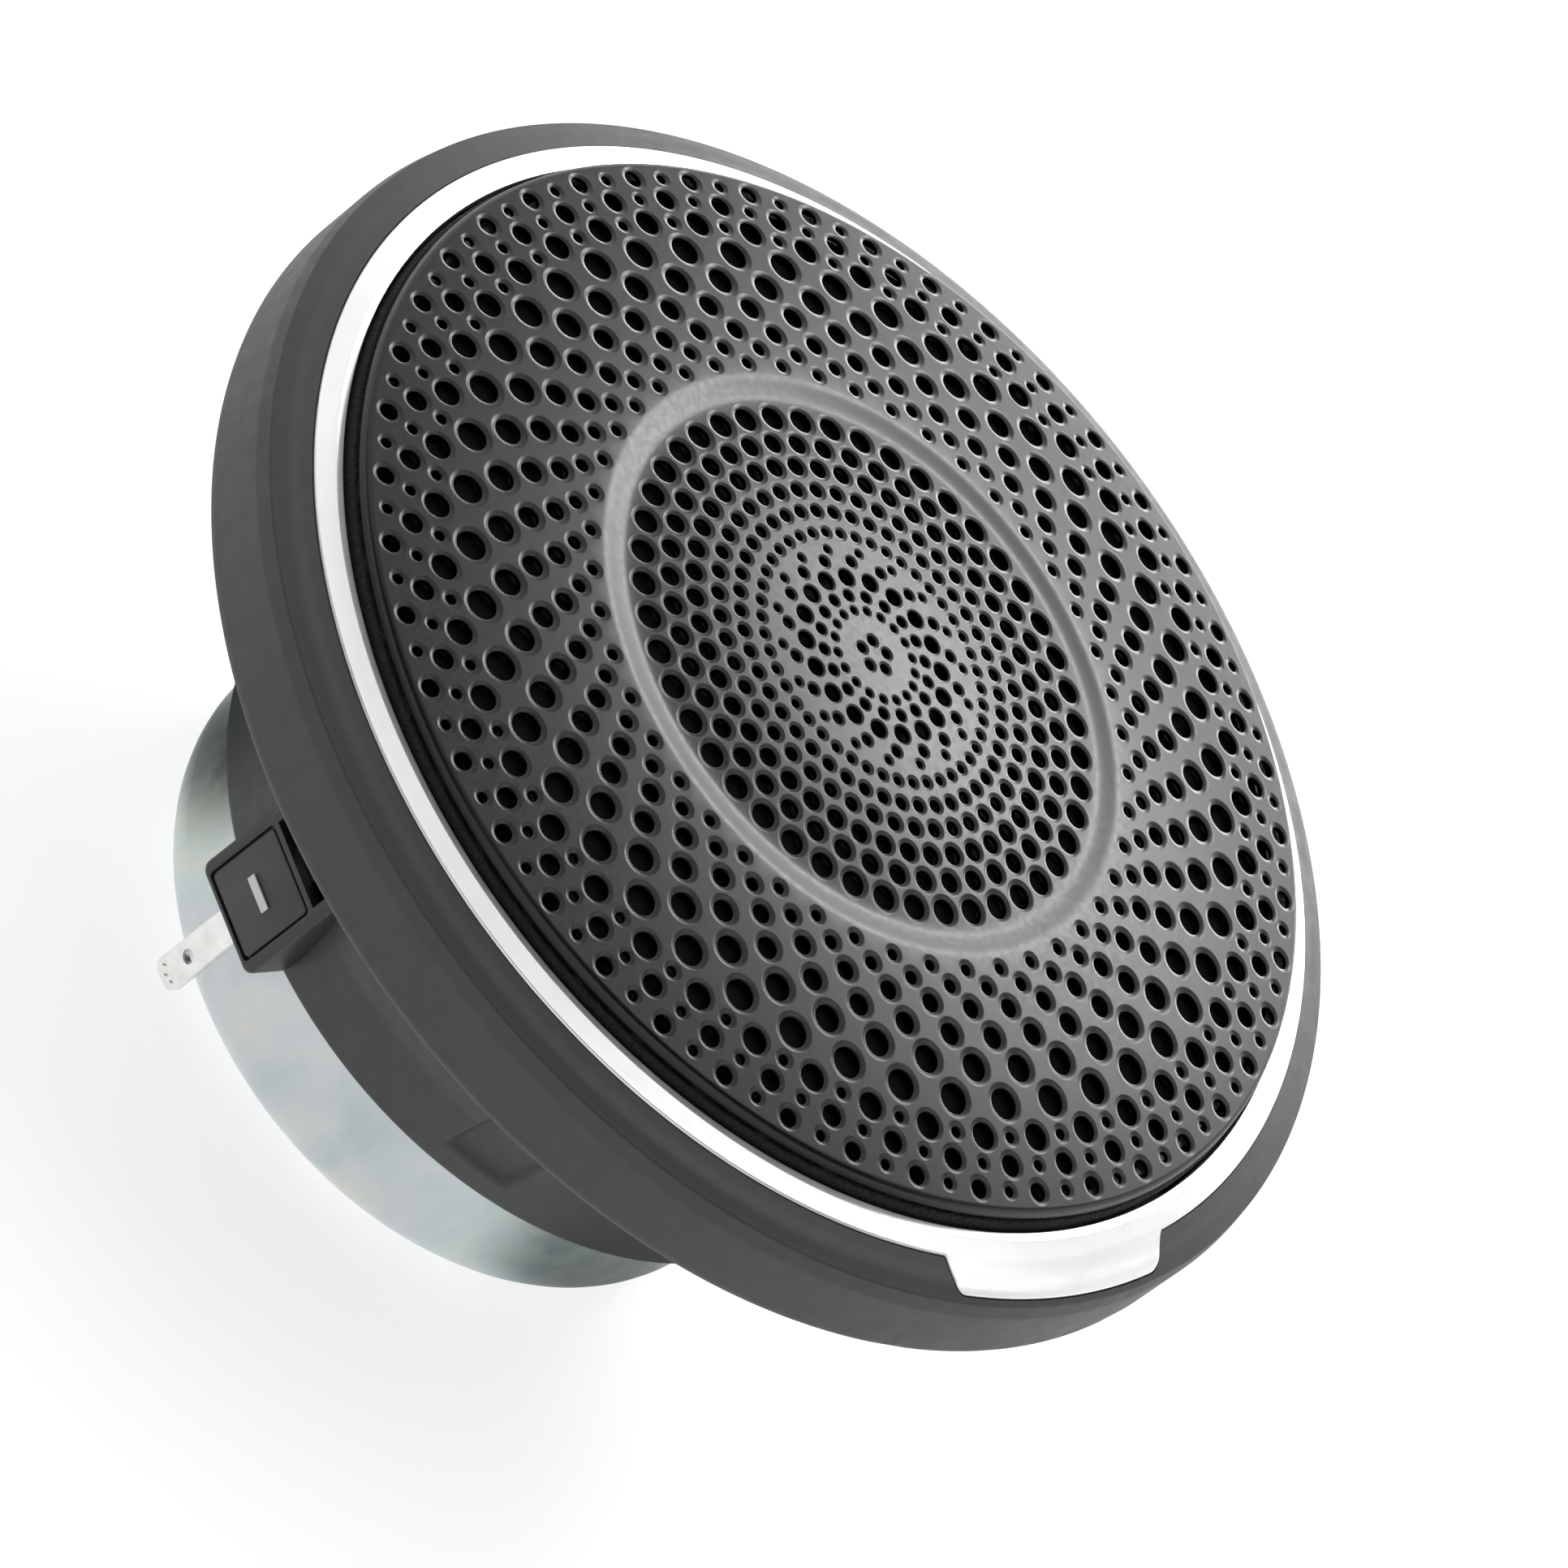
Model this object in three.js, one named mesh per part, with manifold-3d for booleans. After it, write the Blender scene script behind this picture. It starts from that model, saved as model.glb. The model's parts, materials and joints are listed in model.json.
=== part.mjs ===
// Round car speaker driver with a perforated, snap-in grille.
// Millimetres, +Z along the speaker's axis towards the listener.
// The origin is the centre of the motor's flat back, so every height is measured from there.
// The nameplate faces -Y, the negative terminal -X and the positive terminal +X.

import * as THREE from "three";
import { mergeVertices } from "three/addons/utils/BufferGeometryUtils.js";
import Module from "manifold-3d";

const wasm = await Module();
wasm.setup();

// ---------------------------------------------------------------- driving dimensions

const GAP = 0.3; // clearance between neighbouring pieces
const TURN = 2 * Math.PI;

const SMOOTH = 48; // segments round the large visible rings
const PLAIN = 24; // segments round the hidden pieces
const SMALL = 12; // segments round screws and holes

const cup = { radius: 29, wall: 2.6, floor: 2.6, corner: 5.5, top: 16.6 };
const pole = { radius: 12.3, top: 16.9, plateBottom: cup.floor + GAP, plateTop: 6.4 };
const magnet = { inner: 15.5, outer: 25.4, bottom: 6.7, top: 12.6 };
const topPlate = { inner: 13.9, outer: 25.8, bottom: 12.9, top: 16.9 };
const former = { inner: 12.7, outer: 12.95, bottom: 12.3, top: 31 };
const coil = { inner: 13.05, outer: 13.5, bottom: 12.6, top: 17.4 };

const flange = { rear: 39.8, front: 42.2, radius: 49.6, neck: 42.6, lip: 40.2 };
const gasket = { inner: 43.2, outer: 49, thickness: 0.9 };
const skirt = { inner: 29.4, outer: 32.3, bottom: 15.1 };
const ledge = { inner: 27.5, top: 23.4 };
const basketFloor = { bottom: 17.2, top: 19.4, bore: 14.3 };
const basketWall = 2.2;

const cone = { neck: 13.25, rim: 34.8, rimZ: 40.4, thickness: 0.6 };
const roll = { inner: 34.8, outer: 40.4, footInner: 33.4, footOuter: 42.4, height: 3.2 };

const tray = { radius: 52.2, inner: 42.7, channel: 47.6, floorTop: 44, seat: 47.9 };
const trim = { outer: 48.65, inner: 46.6, crest: 49.75, bottom: 48.2, shoulder: 49.3, flat: 47.25 };
const nameplate = { halfTop: 14.5, halfBottom: 12.6, outer: 51.35, proud: 0.1, thickness: 0.5 };

const grille = {
  radius: 46,
  edgeZ: 50.7,
  thickness: 0.9,
  outerCrown: 55.35, // where the outer dome would peak if it ran on to the axis
  outerSag: 3.6, // how far it falls from there to the rim
  crown: 55.5,
  dip: 1.43, // how far the middle zone falls from the crown to the step
  stepInner: 23.3, // a low step up leads from the middle zone to the outer dome
  stepOuter: 25.4,
};
const retainer = { inner: 41.6, outer: 44.6, bottom: 48.6, top: 50.3 };
const foamRing = { inner: 44.9, outer: 46.3, bottom: 48.4, top: 50.4, bevel: 0.35 };

const screw = { circle: 45.1, count: 4, headRadius: 2.1, shankRadius: 1.3, holeRadius: 1.7 };
const screwAngles = [45, 135, 225, 315];
const screwHead = { height: 1.6, bevel: 0.6, recessWidth: 0.45, recessLength: 2.7, recessDepth: 0.9 };

const housing = { face: 36.6, width: 9.7, rear: 15.6, front: 25, mouth: 29, wall: 1.15 };
const plate = { width: 7.2, length: 7.8, depth: 0.5, thickness: 0.4, centreZ: 20.3 };
const plateBottom = plate.centreZ - plate.length / 2;
const plateTop = plate.centreZ + plate.length / 2;
const plateBack = housing.face - plate.depth + 0.05;
const mark = { length: 3, width: 0.85, height: 0.15 };
const tab = { tip: 6, inner: 26.2, holeZ: 9.6, chamfer: 0.7 };
const tabThickness = 0.8;
const tabFace = 35.4; // distance of the blade's outer face from the axis
const terminals = [
  { name: "neg", angle: 180, tabWidth: 2.8, holeRadius: 0.6, plus: false },
  { name: "pos", angle: 0, tabWidth: 4.8, holeRadius: 0.8, plus: true },
];

// ---------------------------------------------------------------- materials

function material(color, roughness, metalness) {
  return new THREE.MeshStandardMaterial({ color, roughness, metalness });
}

const zinc = material(0xb9c0c4, 0.3, 1);
const steel = material(0x8d8f92, 0.45, 1);
const nickel = material(0xc9c9c6, 0.25, 1);
const chrome = material(0xe6e7e8, 0.22, 1);
const copper = material(0xb87333, 0.35, 1);
const brass = material(0xc9a646, 0.3, 1);
const ferrite = material(0x2b2b2d, 0.7, 0);
const darkPlastic = material(0x2c2d2f, 0.55, 0);
const softTouch = material(0x3c3d3f, 0.65, 0);
const blackPlastic = material(0x1b1c1d, 0.5, 0);
const paintedSteel = material(0x252628, 0.4, 0.2);
const foam = material(0x141414, 0.95, 0);
const cloth = material(0x101011, 0.9, 0);
const paper = material(0x222325, 0.8, 0);
const rubber = material(0x18191a, 0.6, 0);
const spiderCloth = material(0xb08a4a, 0.9, 0);
const film = material(0xc7a26a, 0.5, 0);
const markPaint = material(0xc4c6c7, 0.6, 0);

// ---------------------------------------------------------------- solids

// A closed three.js geometry as a solid with its faces pointing out.
function toSolid(geometry) {
  const bare = geometry.clone();
  bare.deleteAttribute("normal");
  bare.deleteAttribute("uv");
  const merged = mergeVertices(bare, 1e-4);
  const index = merged.index.array;
  const triangles = [];
  for (let i = 0; i < index.length; i += 3) {
    const [a, b, c] = [index[i], index[i + 1], index[i + 2]];
    if (a !== b && b !== c && c !== a) triangles.push(a, b, c);
  }
  const build = (triVerts) => {
    const vertProperties = new Float32Array(merged.attributes.position.array);
    const mesh = new wasm.Mesh({ numProp: 3, vertProperties, triVerts: new Uint32Array(triVerts) });
    return new wasm.Manifold(mesh);
  };
  const solid = build(triangles);
  return solid.volume() < 0 ? build(triangles.reverse()) : solid;
}

function toMesh(name, solid, surface) {
  const { vertProperties, triVerts } = solid.getMesh();
  const geometry = new THREE.BufferGeometry();
  geometry.setAttribute("position", new THREE.BufferAttribute(new Float32Array(vertProperties), 3));
  geometry.setIndex(new THREE.BufferAttribute(new Uint32Array(triVerts), 1));
  geometry.computeVertexNormals();
  const mesh = new THREE.Mesh(geometry, surface);
  mesh.name = name;
  return mesh;
}

// A [radius, height] outline turned about the axis. It closes on itself, or on the axis.
function turned(outline, segments) {
  const points = outline.map(([radius, height]) => new THREE.Vector2(radius, height));
  const onAxis = outline[0][0] === 0 && outline[outline.length - 1][0] === 0;
  if (!onAxis) points.push(points[0].clone());
  return toSolid(new THREE.LatheGeometry(points, segments).rotateX(Math.PI / 2));
}

function ring(inner, outer, bottom, top, segments = PLAIN) {
  const outline = [[inner, bottom], [outer, bottom], [outer, top], [inner, top]];
  return turned(outline, segments);
}

function block(low, high) {
  const size = new THREE.Vector3(high[0] - low[0], high[1] - low[1], high[2] - low[2]);
  const geometry = new THREE.BoxGeometry(size.x, size.y, size.z);
  geometry.translate(low[0] + size.x / 2, low[1] + size.y / 2, low[2] + size.z / 2);
  return toSolid(geometry);
}

function rod(radius, bottom, top, segments = SMALL) {
  const geometry = new THREE.CylinderGeometry(radius, radius, top - bottom, segments);
  return toSolid(geometry.rotateX(Math.PI / 2).translate(0, 0, (bottom + top) / 2));
}

// A solid drawn for the +X side, moved to the given angle about the axis.
function atAngle(solid, degrees) {
  return solid.rotate([0, 0, degrees]);
}

function arc(centreR, centreZ, radius, from, to, steps) {
  const points = [];
  for (let i = 0; i <= steps; i += 1) {
    const angle = THREE.MathUtils.degToRad(from + ((to - from) * i) / steps);
    points.push([centreR + radius * Math.cos(angle), centreZ + radius * Math.sin(angle)]);
  }
  return points;
}

function shifted(outline, dr, dz) {
  return outline.map(([radius, height]) => [radius + dr, height + dz]);
}

// ---------------------------------------------------------------- motor

function motorCup() {
  const centreR = cup.radius - cup.corner;
  const innerCorner = cup.corner - cup.floor;
  return turned(
    [
      [0, 0],
      ...arc(centreR, cup.corner, cup.corner, -90, 0, 4),
      [cup.radius, cup.top],
      [cup.radius - cup.wall, cup.top],
      ...arc(centreR, cup.corner, innerCorner, 0, -90, 2),
      [0, cup.floor],
    ],
    SMOOTH,
  );
}

function yoke() {
  const edge = topPlate.outer;
  const chamfer = 3;
  return turned(
    [
      [0, pole.plateBottom],
      [edge - chamfer, pole.plateBottom],
      [edge, pole.plateBottom + chamfer],
      [edge, pole.plateTop],
      [pole.radius, pole.plateTop],
      [pole.radius, pole.top],
      [0, pole.top],
    ],
    PLAIN,
  );
}

// ---------------------------------------------------------------- basket

// The bowl's outer line, from the motor up to the back of the flange.
const bowl = [
  [skirt.outer, skirt.bottom],
  [34.2, 23],
  [36.2, 28],
  [39.6, 33],
  [flange.neck, 37.6],
  [flange.neck, flange.rear],
];

const pocket = { width: 4.8, rear: 17.8, front: 33, depth: 0.9 };

function bowlSolid(extra) {
  const outline = [[0, skirt.bottom], ...shifted(bowl, extra, 0), [0, flange.rear]];
  return turned(outline, SMOOTH);
}

function basket() {
  const inside = shifted(bowl.slice(1, -1).reverse(), -basketWall, 0);
  let body = turned(
    [
      [basketFloor.bore, basketFloor.bottom],
      [skirt.inner, basketFloor.bottom],
      [skirt.inner, skirt.bottom],
      ...bowl,
      [flange.neck, flange.front],
      [flange.lip, flange.front],
      ...inside,
      [bowl[1][0] - basketWall, ledge.top],
      [ledge.inner, ledge.top],
      [ledge.inner, basketFloor.top],
      [basketFloor.bore, basketFloor.top],
    ],
    SMOOTH,
  );
  for (const degrees of screwAngles) body = body.subtract(atAngle(pocketCut(), degrees));
  for (const { angle } of terminals) {
    const half = housing.width / 2 - housing.wall;
    const window = block([28, -half, ledge.top + 1.4], [housing.face + 3, half, 31]);
    const relief = block([tabFace - 2 * tabThickness, -half, 20], [housing.face, half, 26]);
    body = body.subtract(atAngle(window.add(relief), angle));
  }
  return body;
}

// The screwed ring round the basket's mouth, which the tray stands on.
function flangeRing() {
  const body = ring(flange.neck + GAP, flange.radius, flange.rear, flange.front, SMOOTH);
  return drilled(body, flange.rear - 1, flange.front + 1);
}

// The solid with the four screw holes through it.
function drilled(body, bottom, top, radius = screw.holeRadius) {
  let result = body;
  for (const degrees of screwAngles) {
    const hole = rod(radius, bottom, top).translate([screw.circle, 0, 0]);
    result = result.subtract(atAngle(hole, degrees));
  }
  return result;
}

// A shallow upright recess in the bowl, its floor parallel to the bowl's surface.
function pocketCut() {
  const half = pocket.width / 2;
  const box = block([30, -half, pocket.rear], [44, half, pocket.front]);
  return box.subtract(bowlSolid(-pocket.depth));
}

// ---------------------------------------------------------------- moving cone

const coneLine = [
  [cone.neck, 29.5],
  [14.4, 31.2],
  [20, 34.6],
  [27, 38],
  [roll.footInner, cone.rimZ],
  [cone.rim, cone.rimZ],
];

function coneSolid() {
  const upper = shifted(coneLine, 0, cone.thickness).reverse();
  return turned([...coneLine, ...upper], PLAIN);
}

function dustCap() {
  const base = { radius: 16.4, height: 33.5 };
  const rise = 4;
  const thickness = 0.5;
  const steps = 5;
  const dome = (lift, radius) => {
    const points = [];
    for (let i = 0; i <= steps; i += 1) {
      const share = i / steps;
      points.push([radius * (1 - share), base.height + lift + rise * (1 - (1 - share) ** 2)]);
    }
    return points;
  };
  return turned([...dome(0, base.radius).reverse(), ...dome(thickness, base.radius)], PLAIN);
}

function surround() {
  const foot = 0.5;
  const innerZ = cone.rimZ + cone.thickness + GAP;
  const outerZ = flange.front + GAP;
  const steps = 6;
  const line = [[roll.footInner, innerZ]];
  for (let i = 0; i <= steps; i += 1) {
    const share = i / steps;
    const radius = roll.inner + (roll.outer - roll.inner) * share;
    const slope = innerZ + (outerZ - innerZ) * share;
    line.push([radius, slope + roll.height * Math.sin(Math.PI * share) ** 0.8]);
  }
  line.push([roll.footOuter, outerZ]);
  return turned([...line, ...shifted(line, 0, foot).reverse()], PLAIN);
}

function spider() {
  const thickness = 0.5;
  const collar = former.outer + GAP;
  const footZ = ledge.top + GAP;
  const waveInner = 14.8;
  const waveOuter = 28;
  const waves = 4;
  const stepsPerWave = 2;
  const line = [[collar, footZ]];
  for (let i = 0; i <= waves * stepsPerWave; i += 1) {
    const share = i / (waves * stepsPerWave);
    const radius = waveInner + (waveOuter - waveInner) * share;
    line.push([radius, footZ + 0.55 * (1 - Math.cos(TURN * waves * share))]);
  }
  line.push([30.8, footZ]);
  return turned([...line, ...shifted(line, 0, thickness).reverse()], PLAIN);
}

// ---------------------------------------------------------------- terminals

// A length of wire or lead along a smooth curve.
function wire(points, radius, steps) {
  const section = new THREE.Shape();
  section.absarc(0, 0, radius, 0, TURN);
  const path = new THREE.CatmullRomCurve3(points.map(([x, y, z]) => new THREE.Vector3(x, y, z)));
  const options = { steps, extrudePath: path, curveSegments: 4, bevelEnabled: false };
  return toSolid(new THREE.ExtrudeGeometry(section, options));
}

// An outline in the Y-Z plane, extruded outwards from x = inner to x = outer.
function upright(outline, inner, outer, holes = []) {
  const shape = new THREE.Shape(outline.map(([y, z]) => new THREE.Vector2(y, z)));
  for (const { y, z, radius } of holes) {
    const hole = new THREE.Path();
    hole.absarc(y, z, radius, 0, TURN, true);
    shape.holes.push(hole);
  }
  const options = { depth: outer - inner, bevelEnabled: false, curveSegments: SMALL / 2 };
  const geometry = new THREE.ExtrudeGeometry(shape, options);
  // The shape's x, y and depth become y, z and x.
  const axes = new THREE.Matrix4().makeBasis(
    new THREE.Vector3(0, 1, 0),
    new THREE.Vector3(0, 0, 1),
    new THREE.Vector3(1, 0, 0),
  );
  return toSolid(geometry.applyMatrix4(axes).translate(inner, 0, 0));
}

function rectangle(width, bottom, top, corner = 0) {
  const half = width / 2;
  if (corner === 0) return [[-half, bottom], [half, bottom], [half, top], [-half, top]];
  return [
    [-half + corner, bottom],
    [half - corner, bottom],
    [half, bottom + corner],
    [half, top - corner],
    [half - corner, top],
    [-half + corner, top],
    [-half, top - corner],
    [-half, bottom + corner],
  ];
}

function housingSolid(tabWidth) {
  const inside = housing.width - 2 * housing.wall;
  const cavityFace = housing.face - plate.depth - 0.45;
  const outline = rectangle(housing.width, housing.rear, housing.mouth, 0.7);
  let body = upright(outline, skirt.outer - 2, housing.face);
  body = body.subtract(bowlSolid(GAP));
  const cavity = block([28, -inside / 2, housing.rear + 1.2], [cavityFace, inside / 2, 40]);
  const mouth = block([28, -inside / 2, housing.front], [40, inside / 2, 40]);
  const seat = upright(
    rectangle(plate.width + 0.5, plateBottom - 0.25, plateTop + 0.25, 0.35),
    housing.face - plate.depth,
    40,
  );
  const slotInner = tabFace - tabThickness - 0.2;
  const slot = block(
    [slotInner, -tabWidth / 2 - 0.2, housing.rear - 1],
    [tabFace + 0.2, tabWidth / 2 + 0.2, housing.rear + 2],
  );
  for (const cut of [cavity, mouth, seat, slot]) body = body.subtract(cut);
  return body;
}

function plateSolid() {
  const outline = rectangle(plate.width, plateBottom, plateTop, 0.3);
  return upright(outline, plateBack, plateBack + plate.thickness);
}

// The printed sign on the plate: a bar for minus, two crossed bars for plus.
function markSolid(plus) {
  const low = plateBack + plate.thickness + 0.05;
  const bar = (width, height) => {
    const outline = rectangle(width, plate.centreZ - height / 2, plate.centreZ + height / 2);
    return upright(outline, low, low + mark.height);
  };
  const minus = bar(mark.length, mark.width);
  return plus ? minus.add(bar(mark.width, mark.length)) : minus;
}

function tabSolid(width, holeRadius) {
  const half = width / 2;
  const outline = [
    [-half + tab.chamfer, tab.tip],
    [half - tab.chamfer, tab.tip],
    [half, tab.tip + tab.chamfer],
    [half, tab.inner],
    [-half, tab.inner],
    [-half, tab.tip + tab.chamfer],
  ];
  const hole = { y: 0, z: tab.holeZ, radius: holeRadius };
  return upright(outline, tabFace - tabThickness, tabFace, [hole]);
}

// A flattened bead of solder on the inner end of the blade.
function solderSolid() {
  const geometry = new THREE.SphereGeometry(1, 10, 6).scale(0.9, 1.25, 0.75);
  return toSolid(geometry.translate(tabFace - 0.4, 0, tab.inner + GAP + 0.75));
}

function leadSolid() {
  const radius = 0.4;
  const points = [
    [33.8, 0, 27.2],
    [31.6, 0, 28],
    [28.8, 0, 27.6],
    [26, 0, 27.8],
    [23.6, 0, 30],
    [22.4, 0, 33.4],
  ];
  return wire(points, radius, 10);
}

// ---------------------------------------------------------------- tray and mounting ring

// The tray's front face, from the trim ring's seat out to the crease and over the rounded wall.
const trayFront = [
  [48.95, tray.seat],
  [48.95, 49.05],
  [49.8, 48.65],
  [50.8, 48.35],
  [51.9, 47.6],
  [tray.radius, 46.2],
];

function trayProfile() {
  const corner = 1.9;
  const rearZ = flange.rear;
  return [
    [tray.inner, flange.front + GAP],
    [flange.radius + GAP, flange.front + GAP],
    [flange.radius + GAP, rearZ],
    ...arc(tray.radius - corner, rearZ + corner, corner, -90, 0, 3),
    ...trayFront.slice().reverse(),
    [tray.channel, tray.seat],
    [tray.channel, tray.floorTop],
    [tray.inner, tray.floorTop],
  ];
}

// The nameplate's outline seen along the axis: a trapezium with rounded lower corners.
function nameplatePrism(margin) {
  const point = (radius, degrees) => {
    const angle = THREE.MathUtils.degToRad(270 + degrees);
    return new THREE.Vector2(radius * Math.cos(angle), radius * Math.sin(angle));
  };
  const marginDegrees = THREE.MathUtils.radToDeg(margin / nameplate.outer);
  const top = nameplate.halfTop + marginDegrees;
  const bottom = nameplate.halfBottom + marginDegrees;
  const outer = nameplate.outer + margin;
  const rounding = 0.9;
  const points = [point(46, -top), point(48.8, -top)];
  points.push(point(outer - rounding, -bottom - 0.3));
  const steps = 10;
  for (let i = 0; i <= steps; i += 1) {
    const edge = bottom - 0.7;
    points.push(point(outer, -edge + (2 * edge * i) / steps));
  }
  points.push(point(outer - rounding, bottom + 0.3), point(48.8, top), point(46, top));
  const options = { depth: 20, bevelEnabled: false };
  return toSolid(new THREE.ExtrudeGeometry(new THREE.Shape(points), options).translate(0, 0, 40));
}

function traySolid() {
  const body = drilled(turned(trayProfile(), SMOOTH), flange.front, tray.floorTop + 1);
  const sunk = nameplate.thickness - nameplate.proud + GAP;
  const pocketFloor = shifted(trayFront.slice(1, 5), 0, -sunk);
  const outside = [[53, 44], [53, 55], [trim.outer + 0.05, 55]];
  const cover = turned([...pocketFloor, ...outside], SMOOTH);
  return body.subtract(cover.intersect(nameplatePrism(GAP)));
}

// ---------------------------------------------------------------- grille assembly

const clip = { inner: 46.4, width: 6, thickness: 0.7, bottom: 45.2, angles: [0, 90, 180, 270] };

function trimSolid() {
  const bevel = 0.25;
  const band = turned(
    [
      [trim.inner, trim.bottom],
      [trim.outer, trim.bottom],
      [trim.outer, trim.shoulder],
      [trim.flat, trim.crest],
      [trim.inner + bevel, trim.crest],
      [trim.inner, trim.crest - bevel],
    ],
    SMOOTH,
  );
  const root = trim.flat + 0.15;
  const line = shifted(trayFront.slice(1, 5), 0, nameplate.proud);
  const lowered = shifted(line, 0, -nameplate.thickness).reverse();
  const skin = turned([[root, trim.shoulder + 0.05], ...line, ...lowered, [root, 48.6]], SMOOTH);
  let body = band.add(skin.intersect(nameplatePrism(0)));
  for (const degrees of clip.angles) {
    const low = [clip.inner, -clip.width / 2, clip.bottom];
    const high = [clip.inner + clip.thickness, clip.width / 2, trim.bottom + 0.5];
    body = body.add(atAngle(block(low, high), degrees));
  }
  return body;
}

// The grille is a shallow dome. Its middle zone is a slightly lower dome inside a low step.
function domeHeight(radius) {
  const { stepInner, stepOuter } = grille;
  if (radius <= stepInner) {
    return grille.crown - grille.dip * (radius / stepInner) ** 2;
  }
  if (radius < stepOuter) {
    const share = (radius - stepInner) / (stepOuter - stepInner);
    return domeHeight(stepInner) * (1 - share) + domeHeight(stepOuter) * share;
  }
  return grille.outerCrown - grille.outerSag * (radius / grille.radius) ** 2;
}

function grilleSolid() {
  const { stepInner, stepOuter } = grille;
  const radii = [0, 8, 14, 19, stepInner, stepOuter, 32, 39, 44.6];
  const underRadii = [44.6, 36, stepOuter, stepInner, 13, 0];
  const line = radii.map((radius) => [radius, domeHeight(radius)]);
  const edge = [
    [45.4, 51.75],
    [45.85, 51.35],
    [grille.radius, grille.edgeZ],
    [grille.radius - grille.thickness, grille.edgeZ],
  ];
  const under = underRadii.map((radius) => [radius, domeHeight(radius) - grille.thickness]);
  return turned([...line, ...edge, ...under], SMOOTH);
}

function clothSolid() {
  const offset = grille.thickness + GAP;
  const thickness = 0.3;
  const radii = [0, 15, 26, 35, 43.6];
  const line = radii.map((radius) => [radius, domeHeight(radius) - offset]);
  return turned([...line, ...shifted(line, 0, -thickness).reverse()], PLAIN);
}

function foamSolid() {
  const { inner, outer, bottom, top, bevel } = foamRing;
  const edge = [[outer, top - bevel], [outer - bevel, top]];
  return turned([[inner, bottom], [outer, bottom], ...edge, [inner, top]], SMOOTH);
}

// ---------------------------------------------------------------- fixings and seals

function screwSolid() {
  const { height, bevel, recessWidth, recessLength, recessDepth } = screwHead;
  const under = tray.floorTop + GAP;
  const top = under + height;
  const body = turned(
    [
      [0, flange.rear + 0.4],
      [screw.shankRadius, flange.rear + 0.9],
      [screw.shankRadius, under],
      [screw.headRadius, under],
      [screw.headRadius, top - bevel],
      [screw.headRadius - bevel, top],
      [0, top],
    ],
    SMALL,
  );
  const low = [-recessLength / 2, -recessWidth / 2, top - recessDepth];
  const high = [recessLength / 2, recessWidth / 2, top + 1];
  const arm = block(low, high);
  return body.subtract(arm).subtract(atAngle(arm, 90));
}

function gasketSolid() {
  const top = flange.rear - GAP;
  const bottom = top - gasket.thickness;
  const body = ring(gasket.inner, gasket.outer, bottom, top, SMOOTH);
  return drilled(body, bottom - 1, top + 1, screw.holeRadius + GAP);
}

// ---------------------------------------------------------------- assembly

const speaker = new THREE.Group();

function place(name, solid, surface) {
  speaker.add(toMesh(name, solid, surface));
}

place("motor_cup", motorCup(), zinc);
place("yoke", yoke(), steel);
place("magnet_ring", ring(magnet.inner, magnet.outer, magnet.bottom, magnet.top), ferrite);
place("top_plate", ring(topPlate.inner, topPlate.outer, topPlate.bottom, topPlate.top), steel);
place("pole_cap", rod(pole.radius, pole.top + GAP, pole.top + GAP + 0.5, PLAIN), copper);

place("basket", basket(), darkPlastic);
place("flange_ring", flangeRing(), darkPlastic);
place("spider", spider(), spiderCloth);
place("voice_coil_former", ring(former.inner, former.outer, former.bottom, former.top), film);
place("voice_coil", ring(coil.inner, coil.outer, coil.bottom, coil.top), copper);
place("cone", coneSolid(), paper);
place("dust_cap", dustCap(), paper);
place("surround", surround(), rubber);
place("surround_clamp", ring(40.6, roll.footOuter, 43.3, 44.4), blackPlastic);

for (const { name, angle, tabWidth, holeRadius, plus } of terminals) {
  place(`terminal_housing_${name}`, atAngle(housingSolid(tabWidth), angle), blackPlastic);
  place(`terminal_plate_${name}`, atAngle(plateSolid(), angle), darkPlastic);
  place(`polarity_mark_${name}`, atAngle(markSolid(plus), angle), markPaint);
  place(`terminal_tab_${name}`, atAngle(tabSolid(tabWidth, holeRadius), angle), nickel);
  place(`solder_${name}`, atAngle(solderSolid(), angle), brass);
  place(`tinsel_lead_${name}`, atAngle(leadSolid(), angle), copper);
}

place("mounting_gasket", gasketSolid(), foam);
place("tray_ring", traySolid(), softTouch);
screwAngles.forEach((degrees, i) => {
  const piece = atAngle(screwSolid().translate([screw.circle, 0, 0]), degrees);
  place(`tray_screw_${i + 1}`, piece, steel);
});

place("trim_ring", trimSolid(), chrome);
place("foam_ring", foamSolid(), foam);
place("grille", grilleSolid(), paintedSteel);
place("grille_cloth", clothSolid(), cloth);
place(
  "cloth_retainer",
  ring(retainer.inner, retainer.outer, retainer.bottom, retainer.top),
  blackPlastic,
);

export default speaker;
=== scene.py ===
# Looks for the round car speaker driver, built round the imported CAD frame.
# Lengths below are millimetres in the part's own frame and become metres when a mesh is made.

import json
import math

import bmesh
import bpy
import numpy as np
from mathutils import Matrix, Vector
from mathutils.geometry import delaunay_2d_cdt


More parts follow.
